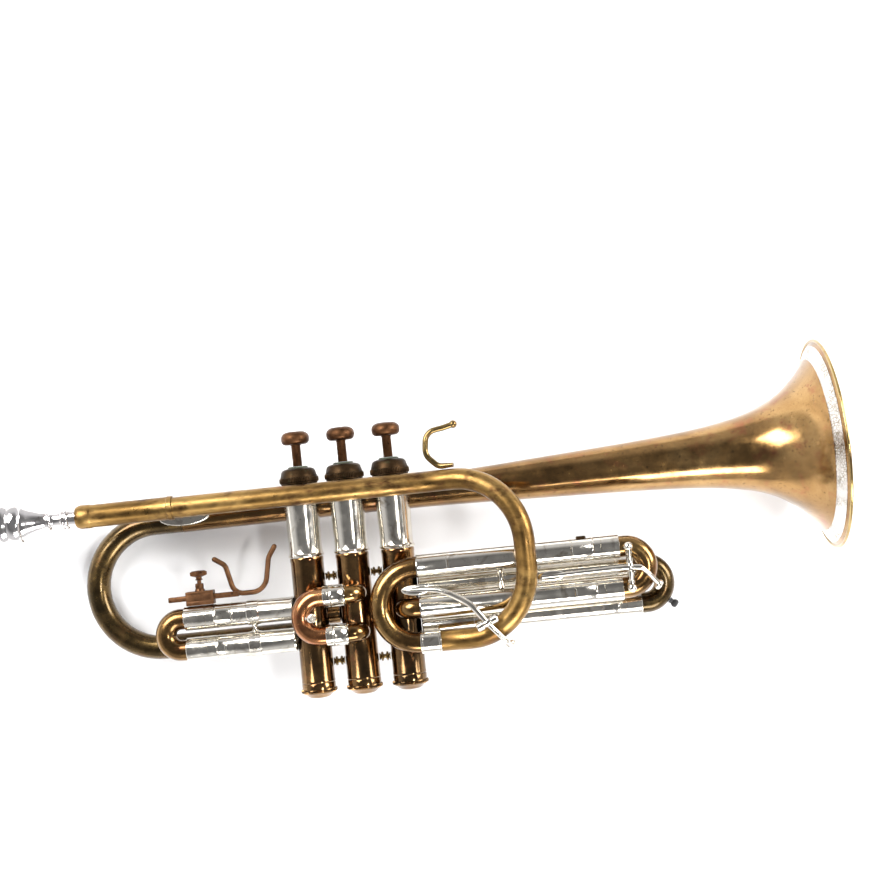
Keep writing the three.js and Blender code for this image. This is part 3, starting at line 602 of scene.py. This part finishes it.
def slide(prefix, heights, plane, middle, leg_end, ferrule, radius, ferrule_radius, body, node, brass):
    """A crook with its two legs, and the ferrules that stop it against the sleeves."""
    bend = (heights[0] - heights[1]) / 2
    way = 1 if middle > leg_end else -1
    far = middle + way * bend
    foot = ferrule + way * 1.0
    corners = [(foot, heights[0], plane), (far, heights[0], plane), (far, heights[1], plane),
               (foot, heights[1], plane)]
    shape = tube(path(corners, [bend - 0.02] * 2, 5), radius)
    finish_piece(f"{prefix}_crook", shape, brass, body, [node])
    end = middle - way * 3
    low, high = min(ferrule, end), max(ferrule, end)
    seam = ferrule + way * (abs(end - ferrule) * 0.3)
    for name, height in zip(("upper", "lower"), heights):
        outer = ferrule_radius
        profile = [(radius - 0.4, low), (outer - 0.15, low), (outer, low + 0.2), (outer, seam - 0.3),
                   (outer - 0.2, seam - 0.15), (outer - 0.2, seam + 0.15), (outer, seam + 0.3), (outer, high - 0.2),
                   (outer - 0.15, high), (radius - 0.4, high)]
        shape = turned(profile, at(0, height, plane) @ ALONG_X, 48)
        finish_piece(f"{prefix}_ferrule_{name}", shape, NICKEL, body)
        near, far_in = min(leg_end, foot), max(leg_end, foot)
        skin = radius - 0.02
        leg = [(0, near), (radius - 0.5, near), (skin, near + 0.5), (skin, far_in - 0.2), (0, far_in)]
        shape = turned(leg, at(0, height, plane) @ ALONG_X, 40, closed=False)
        finish_piece(f"{prefix}_leg_{name}", shape, NICKEL, body)


def bar(name, x, width, heights, plane):
    """The post that ties two sleeves together, with a waist and two feet."""
    low, high = heights[1] + SLEEVE - 0.3, heights[0] - SLEEVE + 0.3
    half = (high - low) / 2
    profile = [(0, -half), (width * 0.46, -half), (width * 0.4, -half + 0.6), (width * 0.24, -half * 0.3),
               (width * 0.24, half * 0.3), (width * 0.4, half - 0.6), (width * 0.46, half), (0, half)]
    shape = turned(profile, at(x, (low + high) / 2, plane) @ ALONG_Y, 32, closed=False)
    finish_piece(name, shape, NICKEL, "body")


def sleeve_band(name, x, width, heights, plane):
    """The strap wrapped round both sleeves of the first slide."""
    shape = bmesh.new()
    for height in heights:
        left, right = x - width / 2, x + width / 2
        profile = [(6.4, left), (6.88, left), (7.1, left + 0.3), (7.1, right - 0.3), (6.88, right), (6.4, right)]
        turn_profile(shape, profile, at(0, height, plane) @ ALONG_X, 48)
    finish_piece(name, shape, NICKEL, "body")


def tubing():
    return_crook()
    third_start, second_start = SLEEVES_LEFT - GAP, SECOND_RIGHT + GAP
    elbow("third_inlet_elbow_tube", "third_valve_inlet_elbow", 1, TUNING[1], third_start, TUBE, 6.4)
    elbow("second_elbow_upper_tube", "second_valve_elbow_upper", 0, SECOND[0], second_start, SMALL_TUBE, 5.6)
    elbow("second_elbow_lower_tube", "second_valve_elbow_lower", 0, SECOND[1], second_start, SMALL_TUBE, 5.6)

    ends = (SLEEVES_LEFT, TUNING_RIGHT)
    sleeve("tuning_sleeve_upper", *ends, TUNING[0], FRONT, SLEEVE, (55, 125), ["tuning_slide_sleeves"])
    sleeve("tuning_sleeve_lower", *ends, TUNING[1], FRONT, SLEEVE, (125,))
    bar("tuning_sleeve_post", 84, 5, TUNING, FRONT)
    nub = rounded_plate(bmesh.new(), (5.5, 2.2, 4), at(131, TUNING[0] + SLEEVE + 0.1, FRONT), 0.7)
    finish_piece("tuning_stop_nub", nub, CAP_BRONZE, "body")

    ends = (THIRD_LEFT, THIRD_RIGHT)
    sleeve("third_sleeve_upper", *ends, THIRD[0], VALVE_PLANE, SLEEVE, (66, 140), ["third_slide_sleeves"])
    sleeve("third_sleeve_lower", *ends, THIRD[1], VALVE_PLANE, SLEEVE, (66, 140))
    bar("third_sleeve_post", 62, 6, THIRD, VALVE_PLANE)

    ends = (FIRST_LEFT, -36.5)
    sleeve("first_sleeve_upper", *ends, FIRST[0], VALVE_PLANE, SLEEVE, (-72,), ["first_slide_sleeves"])
    sleeve("first_sleeve_lower", *ends, FIRST[1], VALVE_PLANE, SLEEVE, (-77,))
    bar("first_sleeve_post", -60, 5, FIRST, VALVE_PLANE)
    sleeve_band("first_sleeve_strap", -60, 7, FIRST, VALVE_PLANE)

    for place, height in zip(("upper", "lower"), SECOND):
        sleeve(f"second_sleeve_{place}", SECOND_LEFT, SECOND_RIGHT, height, FRONT, SMALL_SLEEVE, (),
               [f"second_slide_sleeve_{place}"])

    slide("tuning", TUNING, FRONT, TUNING_CROOK, TUNING_RIGHT - ENGAGED, TUNING_RIGHT + GAP, TUBE, SLEEVE,
          "tuning_slide_body", "tuning_slide", CROOK_BRASS)
    slide("third", THIRD, VALVE_PLANE, THIRD_CROOK, THIRD_RIGHT - ENGAGED, THIRD_RIGHT + GAP, TUBE, SLEEVE,
          "third_slide_body", "third_slide", BOW_BRASS)
    slide("first", FIRST, VALVE_PLANE, FIRST_CROOK, -40.1, FIRST_LEFT - GAP, TUBE, SLEEVE, "first_slide_body",
          "first_slide", CROOK_BRASS)
    slide("second", SECOND, FRONT, SECOND_CROOK, SECOND_RIGHT - 0.5, SECOND_LEFT - GAP, SMALL_TUBE, SMALL_SLEEVE,
          "second_slide_body", "second_slide", RED_BRASS)


# ---- Pull knobs ------------------------------------------------------------------------------------


def pull_knobs():
    middle = (SECOND[0] + SECOND[1]) / 2
    apex = SECOND_CROOK - (SECOND[0] - SECOND[1]) / 2
    reach = (SMALL_TUBE + GAP) * math.sqrt(0.5)
    place = at(apex + reach, middle, FRONT + reach, (1, 0, 1))
    profile = [(0, 0), (1.5, 0), (1.3, 0.5), (1.3, 1.9), (1.9, 2.4), (2.6, 3), (2.8, 3.6), (2.8, 5), (2.5, 5.5),
               (2.2, 5.6), (2.0, 5.45), (0, 5.5)]
    shape = turned(profile, place, 32, closed=False)
    finish_piece("second_slide_knob_turned", shape, NICKEL, "second_slide_body", ["second_slide_knob"])
    angle = math.radians(-40)
    reach = (THIRD[0] - THIRD[1]) / 2 + TUBE + GAP
    way = (math.cos(angle), math.sin(angle), 0)
    foot = (THIRD_CROOK + reach * way[0], sum(THIRD) / 2 + reach * way[1], VALVE_PLANE)
    profile = [(0, 0), (1.9, 0), (1.5, 0.7), (1.4, 1.4), (1.9, 2.0), (2.3, 2.7), (2.4, 3.5), (2.2, 4.3), (1.7, 4.8),
               (0, 4.9)]
    shape = turned(profile, at(*foot, way), 32, closed=False)
    finish_piece("third_slide_bumper", shape, RUBBER, "third_slide_body", ["third_slide_knob"])


# ---- Bell and bell bow -----------------------------------------------------------------------------

# Outer radius at distances back from the rim
BELL_LINE = [(0, 61), (4.2, 52.5), (11, 43), (20, 34.6), (32, 27), (48, 21.6), (72, 17.6), (110, 14.7),
             (165, 12.1), (232, 9.3), (300, 8), (380, 7.2)]


def smooth_line(points, pieces=8):
    """Points along an even curve through the given ones."""
    spots = [Vector((a, b)) for a, b in points]
    line = []
    for i in range(len(spots) - 1):
        before = spots[max(i - 1, 0)]
        after = spots[min(i + 2, len(spots) - 1)]
        p, q = spots[i], spots[i + 1]
        for k in range(pieces):
            t = k / pieces
            leave, arrive = (q - before) * 0.5, (after - p) * 0.5
            line.append(
                p * (2 * t ** 3 - 3 * t ** 2 + 1) + leave * (t ** 3 - 2 * t ** 2 + t)
                + q * (3 * t ** 2 - 2 * t ** 3) + arrive * (t ** 3 - t ** 2)
            )
    line.append(spots[-1])
    return line


def bell():
    length = (RIM_X - TAIL_X) / math.cos(BELL_PITCH)
    line = smooth_line(BELL_LINE)
    line[-1].x = length
    place = at(TAIL_X, TAIL_Y, BELL_PLANE) @ Matrix.Rotation(BELL_PITCH, 4, "Z") @ ALONG_X
    outside, inside = [], []
    for i, spot in enumerate(line):
        before = line[max(i - 1, 0)]
        after = line[min(i + 1, len(line) - 1)]
        tangent = (after - before).normalized()
        inward = Vector((tangent.y, -tangent.x)) * BELL_WALL
        outside.append((spot.y, length - spot.x))
        inner_back = length if i == len(line) - 1 else max(0.0, spot.x + inward.x)
        inside.append((spot.y + inward.y, length - inner_back))
    profile = outside[::-1] + inside
    shape = turned(profile, place, 96)
    finish_piece("bell_flare", shape, BELL_BRASS, "body", ["bell"], sharp=60)
    band = [(spot.y + 0.15, length - spot.x - 0.12) for spot in line if 1.2 < spot.x < 6.2]
    under = [(radius - 0.5, along + 0.2) for radius, along in reversed(band)]
    finish_piece("bell_band", turned(band + under, place, 96), BAND_NICKEL, "body", sharp=60)
    bead = [(RIM_RADIUS - 0.55 + 1.15 * math.cos(math.radians(a)), length - 0.15 + 1.0 * math.sin(math.radians(a)))
            for a in range(0, 360, 30)]
    finish_piece("bell_rim_bead", turned(bead, place, 96), RIM_BRASS, "body", sharp=60)


def bell_bow():
    bend = (TAIL_Y - BELL_BOW_LOW) / 2
    inlet = -VALVE_SPACING - 1.5
    reach = -math.sqrt((CASING + GAP) ** 2 - 1.5 ** 2) + 0.4
    corners = [(TAIL_X - GAP, TAIL_Y, BELL_PLANE), (BELL_BOW_LEFT, TAIL_Y, BELL_PLANE),
               (BELL_BOW_LEFT, BELL_BOW_LOW, BELL_PLANE), (inlet, BELL_BOW_LOW, BELL_PLANE),
               (inlet, BELL_BOW_LOW, reach)]
    shape = tube(path(corners, [bend - 0.02, bend - 0.02, 8], 5), BOW_TUBE, sides=32)
    finish_piece("bell_bow_tube", shape, BOW_BRASS, "body", ["bell_bow"])


# ---- Valves ----------------------------------------------------------------------------------------


def valve(number):
    x = (number - 2) * VALVE_SPACING
    upright = at(x, 0, 0) @ ALONG_Y
    low, high = CASING_LOW, CASING_HIGH
    barrel = [(CASING_BORE, low), (9.5, low), (CASING, low + 0.3), (CASING, low + 1.2), (9.55, low + 1.5),
              (9.55, high - 2.4), (CASING, high - 2.1), (CASING, high - 0.4), (9.5, high), (CASING_BORE, high)]
    shape = turned(barrel, upright, 72)
    finish_piece(f"casing_{number}_barrel", shape, CASING_BRASS, "body", [f"valve_casing_{number}"])

    foot = high + GAP
    baluster = [(CASING_BORE, foot), (10.0, foot), (10.3, foot + 0.5), (10.3, foot + 1.2), (9.9, foot + 1.7),
                (9.6, foot + 2.6), (9.45, foot + 5), (9.5, foot + 9), (9.7, foot + 16), (10.0, foot + 24),
                (10.2, foot + 32), (10.3, BALUSTER_HIGH - 0.6), (10.1, BALUSTER_HIGH), (CASING_BORE, BALUSTER_HIGH)]
    shape = turned(baluster, upright, 72)
    finish_piece(f"baluster_{number}_sleeve", shape, NICKEL, "body", [f"valve_baluster_{number}"])

    base = BALUSTER_HIGH + GAP
    top = BALUSTER_HIGH + CAP_HEIGHT
    cap = [(3.2, base), (10.2, base), (10.7, base + 0.5), (10.7, base + 4.4), (10.4, base + 5.2), (9.8, top - 1.7),
           (9.2, top - 0.9), (8.4, top - 0.4), (7, top), (5.2, top - 0.1), (3.2, top - 0.1)]
    shape = turned(cap, upright, 72)
    knurled_band(shape, CAP_RADIUS, 0.35, base + 0.9, base + 4.0, upright)
    finish_piece(f"top_cap_{number}_turned", shape, CAP_BRONZE, "body", [f"top_cap_{number}"])
    ring = [(2.9, top - 0.6), (5.6, top - 0.6), (6.0, top), (5.7, top + 0.8), (5.0, top + 1.15), (3.4, top + 1.1),
            (2.9, top + 0.7)]
    finish_piece(f"stem_felt_{number}", turned(ring, upright, 40), FELT, "body")

    top = CASING_LOW - GAP
    low = CASING_LOW - 9.3
    cap = [(0, low), (3, low + 0.15), (5.5, low + 0.6), (6.9, low + 1.4), (7.8, low + 2.4), (8.9, low + 2.9),
           (9.3, low + 3.3), (9.5, top - 5.6), (9.6, top - 4.6), (9.7, top - 0.4), (9.5, top), (8.6, top),
           (8.6, top + 1.2), (0, top + 1.2)]
    shape = turned(cap, upright, 72, closed=False)
    knurled_band(shape, LOWER_CAP_RADIUS, 0.3, top - 5.4, top - 3.2, upright)
    finish_piece(f"bottom_cap_{number}_turned", shape, CASING_BRASS, "body",
                 [f"bottom_cap_{number}"])

    low = BALUSTER_HIGH + CAP_HEIGHT + TRAVEL + 0.4
    button = [(0, 12.3), (2.5, 12.3), (2.7, 12.6), (2.7, low - 0.8), (3.2, low - 0.2), (6.2, low), (7.1, low + 0.5),
              (7.8, low + 1.3), (8.15, low + 2.6), (8.2, low + 3.6), (8.0, low + 4.8), (7.5, low + 5.8),
              (6.7, low + 6.6), (5.6, low + 7.1), (4.6, low + 7.4), (3.6, low + 7.2), (2.2, low + 7.0), (0, low + 6.9)]
    shape = turned(button, upright, 56, closed=False)
    finish_piece(f"finger_button_{number}_turned", shape, BUTTON_BRONZE, f"valve_{number}",
                 [f"finger_button_{number}"], sharp=40)


def between_casings():
    half = VALVE_SPACING / 2 - CASING - GAP
    for pair, middle in (("12", -VALVE_SPACING / 2), ("23", VALVE_SPACING / 2)):
        for place, height in (("upper", -5), ("lower", -54)):
            side = [(1.2, 0.5), (2.1, 0.9), (2.55, 1.5), (2.2, 2.1), (1.3, 2.3), (1.4, half - 0.7),
                    (2.2, half - 0.4), (2.1, half), (0, half)]
            profile = [(radius, -along) for radius, along in reversed(side)] + side
            shape = turned(profile, at(middle, height, 0) @ ALONG_X, 32, closed=False)
            for bead in (-1.5, 1.5):
                for k in range(6):
                    turn = FULL_TURN * k / 6
                    spot = at(middle + bead, height + 1.9 * math.cos(turn), 1.9 * math.sin(turn))
                    knob_ball(shape, 0.75, spot, 12)
            finish_piece(f"casing_brace_{place}_{pair}_turned", shape, HOOK_BRASS, "body",
                         [f"casing_brace_{place}_{pair}"])
        height = (CASING_LOW + 11) / 2
        points = [Vector((middle - half, height, 0)), Vector((middle + half, height, 0))]
        shape = tube(points, 5.6, hollow=0.82)
        finish_piece(f"crossover_{pair}_tube", shape, CASING_BRASS, "body",
                     [f"crossover_tube_{pair}"])


# ---- Stays, hook and thumb saddle ------------------------------------------------------------------


def pipe_stay(name, node, x, length):
    """A half-oval shield soldered against the leadpipe, with a foot on the bell tube."""
    height = TAIL_Y + (x - TAIL_X) * math.tan(BELL_PITCH)
    plate = bmesh.new()
    ring = bmesh.ops.create_circle(plate, cap_ends=True, segments=48, radius=length / 2)["verts"]
    bmesh.ops.transform(plate, matrix=Matrix.Diagonal((1, 0.32, 1, 1)), verts=ring)
    made = bmesh.ops.extrude_face_region(plate, geom=list(plate.faces))["geom"]
    raised = {item for item in made if isinstance(item, bmesh.types.BMVert)}
    bmesh.ops.translate(plate, vec=(0, 0, 2.6), verts=list(raised))
    rims = [edge for edge in plate.edges if all(vert in raised for vert in edge.verts)]
    bmesh.ops.bevel(plate, geom=rims, offset=0.9, offset_type="OFFSET", segments=4, profile=0.5, affect="EDGES",
                    material=-1)
    shape = add_part(bmesh.new(), plate, at(x, height + 1.5, 1.3))
    post = [(0, -12), (3.2, -12), (2.4, -10.6), (2.1, -4), (2.4, 1.6), (0, 1.6)]
    turn_profile(shape, post, at(x, height + 2, 0), 24, closed=False)
    finish_piece(name, shape, NICKEL, "body", [node])


def finger_hook():
    foot = LEADPIPE_Y + TUBE + 2.0
    end = (66, foot + 23, FRONT)
    corners = [(64, foot, FRONT + 3.7), (55.5, foot, FRONT + 1), (48.5, foot + 7, FRONT), (50, foot + 20, FRONT),
               (60, foot + 21.5, FRONT), end]
    points = path(corners, [6, 8, 7, 4], 7)
    widths = [1.7] * len(points)
    widths[0] = 1.2
    shape = tube(points, widths, sides=18)
    knob_ball(shape, 2.3, at(*end), 24)
    finish_piece("finger_hook_wire", shape, HOOK_BRASS, "body", ["finger_hook"])


RAIL_Y = FIRST[0] + SLEEVE + 4.6


def thumb_saddle():
    shape = rounded_plate(bmesh.new(), (41, 3, 5), at(-88, RAIL_Y, VALVE_PLANE), 0.5)
    corners = [(-80, 11, VALVE_PLANE), (-74, 7, VALVE_PLANE), (-70, RAIL_Y, VALVE_PLANE),
               (-52, RAIL_Y, VALVE_PLANE), (-48.5, 9, VALVE_PLANE), (-44.5, 15, VALVE_PLANE)]
    points = path(corners, [5, 7, 9, 8], 8)
    widths = [1.5] * len(points)
    sweep(shape, stations(points, widths), 18)
    knob_ball(shape, 1.5, at(*corners[0]), 18)
    knob_ball(shape, 1.5, at(*corners[-1]), 18)
    finish_piece("thumb_saddle_wire", shape, HAND_BRONZE, "thumb_saddle_body", ["thumb_saddle"])

    low = FIRST[0] + SLEEVE + GAP
    high = RAIL_Y + 3.7
    under = RAIL_Y - 1.8 - low
    over = high - (RAIL_Y + 1.8)
    shape = rounded_plate(bmesh.new(), (16, under, 7.5), at(-90, low + under / 2, VALVE_PLANE), 0.4)
    rounded_plate(shape, (16, over, 7.5), at(-90, high - over / 2, VALVE_PLANE), 0.4)
    for side in (-1, 1):
        rounded_plate(shape, (16, high - low, 0.9), at(-90, (low + high) / 2, side * 3.25), 0.3)
    collar = [(1.7, high - 0.3), (2.9, high - 0.3), (2.8, high + 0.8), (2.3, high + 1.6), (2.5, high + 2.6),
              (2.4, high + 4.2), (1.7, high + 4.5)]
    turn_profile(shape, collar, at(-90, 0, VALVE_PLANE) @ ALONG_Y, 36)
    finish_piece("saddle_clamp_block", shape, HAND_BRONZE, "first_slide_body", ["saddle_block"])

    low = RAIL_Y + 1.5 + GAP
    neck = low + 8
    screw = [(0, low), (1.2, low), (1.2, neck), (2.2, neck + 0.4), (1.7, neck + 1.1), (1.7, neck + 2),
             (3.2, neck + 2.4), (4.3, neck + 2.8), (4.3, neck + 5.2), (3.6, neck + 5.6), (0, neck + 5.8)]
    upright = at(-90, 0, VALVE_PLANE) @ ALONG_Y
    shape = turned(screw, upright, 40, closed=False)
    knurled_band(shape, 4.9, 0.3, neck + 2.9, neck + 5.1, upright, teeth=32, bevel=0.35)
    finish_piece("clamp_screw_turned", shape, HAND_BRONZE, "clamp_screw_body", ["clamp_screw"])


# ---- Water keys ------------------------------------------------------------------------------------

BOW_PIVOT = Vector((74.2, -37.9, BOW_PLANE + 2.6))
BOW_AXIS = Vector((0.924, 0.383, 0)).normalized()
CROOK_MIDDLE = sum(TUNING) / 2
CROOK_PIVOT = Vector((TUNING_CROOK + 1.5, CROOK_MIDDLE, FRONT + 8))


def key_lever(name, node, body, corners, radii, cup_way, pivot, axis):
    """A lever: flat finger plate, tapering arm, hinge barrel, and a cup with its cork."""
    points = path(corners, radii, 9)
    count = len(points)
    widths = [1.25 + 0.55 * math.sin(math.pi * min(1, i / (count * 0.75))) for i in range(count)]
    shape = tube(points, widths, sides=18)
    tip = Vector(corners[0])
    aim = (points[1] - points[0]).normalized()
    plate = bmesh.new()
    bmesh.ops.create_uvsphere(plate, u_segments=24, v_segments=14, radius=1)
    across = aim.to_track_quat("X", "Z").to_matrix().to_4x4()
    add_part(shape, plate, Matrix.Translation(tip + aim * 5) @ across @ Matrix.Diagonal((8, 3, 1.1, 1)))
    barrel = [(1.0, -1.9), (2.0, -1.9), (2.1, -1.7), (2.1, 1.7), (2.0, 1.9), (1.0, 1.9)]
    turn_profile(shape, barrel, at(*pivot, axis), 32)
    end = Vector(corners[-1])
    cup = [(0, -0.6), (1.6, -0.6), (2.6, 0), (3.0, 0.7), (3.0, 1.5), (2.6, 1.6), (0, 1.6)]
    turn_profile(shape, cup, at(*end, cup_way), 32, closed=False)
    finish_piece(name, shape, NICKEL, body, [node])
    pad = [(0, 1.6), (2.45, 1.6), (2.5, 2.4), (2.3, 2.6), (0, 2.6)]
    finish_piece(f"{name}_cork", turned(pad, at(*end, cup_way), 28, closed=False), CORK, body)


def bow_key():
    corners = [(31, -16.3, FRONT + 11), (50, -17, FRONT + 14), (66, -26.5, BOW_PLANE + 2.6), BOW_PIVOT,
               (83.6, -48.8, BOW_PLANE + 1.2), (86.6, -52.6, FRONT + 10.4)]
    key_lever("bow_key_lever", "bow_water_key", "bow_key_body", corners, [30, 20, 40, 4], (-0.5, 0.75, -0.4),
              BOW_PIVOT, BOW_AXIS)
    shape = bmesh.new()
    for side in (-1, 1):
        knuckle = [(0, 2.2), (2.2, 2.2), (2.5, 2.5), (2.5, 5.8), (2.1, 6.3), (0, 6.4)]
        turn_profile(shape, knuckle, at(*BOW_PIVOT, BOW_AXIS * side), 32, closed=False)
        top = BOW_PIVOT + BOW_AXIS * (side * 4.4)
        foot = [(0, 0), (1.5, 0), (1.35, 2.5), (1.6, 6), (2.4, 7.4), (0, 7.6)]
        turn_profile(shape, foot, at(*top, (0, 0, -1)), 24, closed=False)
    finish_piece("bow_key_knuckles", shape, NICKEL, "body", ["bow_key_posts"])


def crook_key():
    corners = [(107, -16.4, FRONT + 9), (141.5, -15.8, FRONT + 9.5), CROOK_PIVOT, (162.5, -16.4, FRONT + 8.8),
               (166.5, -20.5, FRONT + 8.6), (172.5, -28, FRONT + 3.4)]
    key_lever("crook_key_lever", "crook_water_key", "crook_key_body", corners, [60, 20, 4, 4], (-0.8, 0.6, -0.35),
              CROOK_PIVOT, Vector((0, 1, 0)))
    for place, height in zip(("upper", "lower"), TUNING):
        inward = 1 if CROOK_MIDDLE > height else -1
        start = CROOK_MIDDLE - inward * 2.2
        end = height + inward * 2.6
        run = abs(end - start)
        post = [(0, 0), (1.8, 0), (2.0, 0.3), (2.0, run * 0.45), (1.5, run * 0.5), (1.5, run * 0.7), (2.0, run * 0.8),
                (2.0, run), (0, run)]
        shape = turned(post, at(CROOK_PIVOT.x, start, CROOK_PIVOT.z, (0, -inward, 0)), 32, closed=False)
        knob_ball(shape, 2.7, at(CROOK_PIVOT.x, height, CROOK_PIVOT.z - 0.6), 28)
        finish_piece(f"crook_key_post_{place}_turned", shape, NICKEL, "tuning_slide_body",
                     [f"crook_key_post_{place}"])


# ---- Camera, lights and floor ----------------------------------------------------------------------


def camera():
    """Looks straight down, a little turned, from 0.85 m above the valves."""
    turn = (Matrix.Rotation(math.radians(5.62), 4, "Z") @ Matrix.Rotation(math.radians(5.13), 4, "Y")
            @ Matrix.Rotation(math.radians(-2.34), 4, "X"))
    back = turn.transposed()
    spot = Vector((0.0127, 0.0520, 0.0452)) + back.to_3x3() @ Vector((0, 0, 0.85))
    lens = bpy.data.cameras.new("view")
    lens.sensor_width = 36
    lens.lens = 36 * 1459.4 / 880
    made = bpy.data.objects.new("view", lens)
    bpy.context.scene.collection.objects.link(made)
    made.matrix_world = Matrix.Translation(spot) @ back
    bpy.context.scene.camera = made


def lamp(name, spot, target, size, power):
    light = bpy.data.lights.new(name, "AREA")
    light.shape = "RECTANGLE"
    light.size, light.size_y = size
    light.energy = power
    made = bpy.data.objects.new(name, light)
    made.location = spot
    made.rotation_euler = (Vector(target) - Vector(spot)).to_track_quat("-Z", "Y").to_euler()
    bpy.context.scene.collection.objects.link(made)


def sky():
    """A room with pale walls all round and a dark ceiling, so that bright metal shows both."""
    world = bpy.data.worlds.new("studio")
    world.use_nodes = True
    tree = world.node_tree
    way = tree.nodes.new("ShaderNodeTexCoord")
    split = tree.nodes.new("ShaderNodeSeparateXYZ")
    walls = tree.nodes.new("ShaderNodeValToRGB")
    stops = [(0.0, 0.9), (0.42, 0.75), (0.56, 0.42), (0.74, 0.16), (1.0, 0.22)]
    elements = walls.color_ramp.elements
    while len(elements) < len(stops):
        elements.new(0.5)
    for element, (place, level) in zip(elements, stops):
        element.position = place
        element.color = (level * 0.97, level * 0.97, level, 1)
    tree.links.new(way.outputs["Generated"], split.inputs["Vector"])
    tree.links.new(split.outputs["Z"], walls.inputs["Fac"])
    tree.links.new(walls.outputs["Color"], tree.nodes["Background"].inputs["Color"])
    tree.nodes["Background"].inputs["Strength"].default_value = 1.0
    bpy.context.scene.world = world


def studio():
    sky()
    bpy.context.scene.view_settings.view_transform = "Standard"
    lamp("left_softbox", (-0.75, 0.55, 0.80), (0, 0, 0.03), (0.7, 0.5), 17)
    lamp("right_softbox", (1.00, 0.35, 0.70), (0, 0, 0.03), (0.6, 0.5), 15)
    lamp("front_softbox", (0.1, -1.0, 0.75), (0, 0, 0.03), (0.9, 0.4), 15)
    lamp("window", (0.36, -0.12, 1.10), (0.2, 0, 0.05), (0.16, 0.09), 3)
    paper = Finish("white_paper", metallic=0.0)
    paper.patches(3, [(0.3, (0.93, 0.93, 0.94)), (0.7, (0.96, 0.96, 0.96))])
    paper.roughness(paper.noise(30), 0.7, 0.9)
    floor = bmesh.new()
    bmesh.ops.create_grid(floor, x_segments=2, y_segments=2, size=3)
    mesh = bpy.data.meshes.new("floor")
    floor.to_mesh(mesh)
    floor.free()
    mesh.materials.append(paper.done())
    made = bpy.data.objects.new("floor", mesh)
    bpy.context.scene.collection.objects.link(made)


def dress_frame():
    """The pieces of the frame that show as they are: pistons and springs."""
    for name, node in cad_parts.items():
        if not node.hide_render:
            node.data.materials.clear()
            node.data.materials.append(WIRE if name.startswith("valve_spring") else NICKEL)


camera()
mouthpiece()
receiver()
leadpipe()
tubing()
pull_knobs()
bell()
bell_bow()
for valve_number in (1, 2, 3):
    valve(valve_number)
between_casings()
pipe_stay("rear_stay_shield", "rear_pipe_stay", -94.5, 29)
pipe_stay("front_stay_shield", "front_pipe_stay", 46, 14)
finger_hook()
thumb_saddle()
bow_key()
crook_key()
dress_frame()
studio()
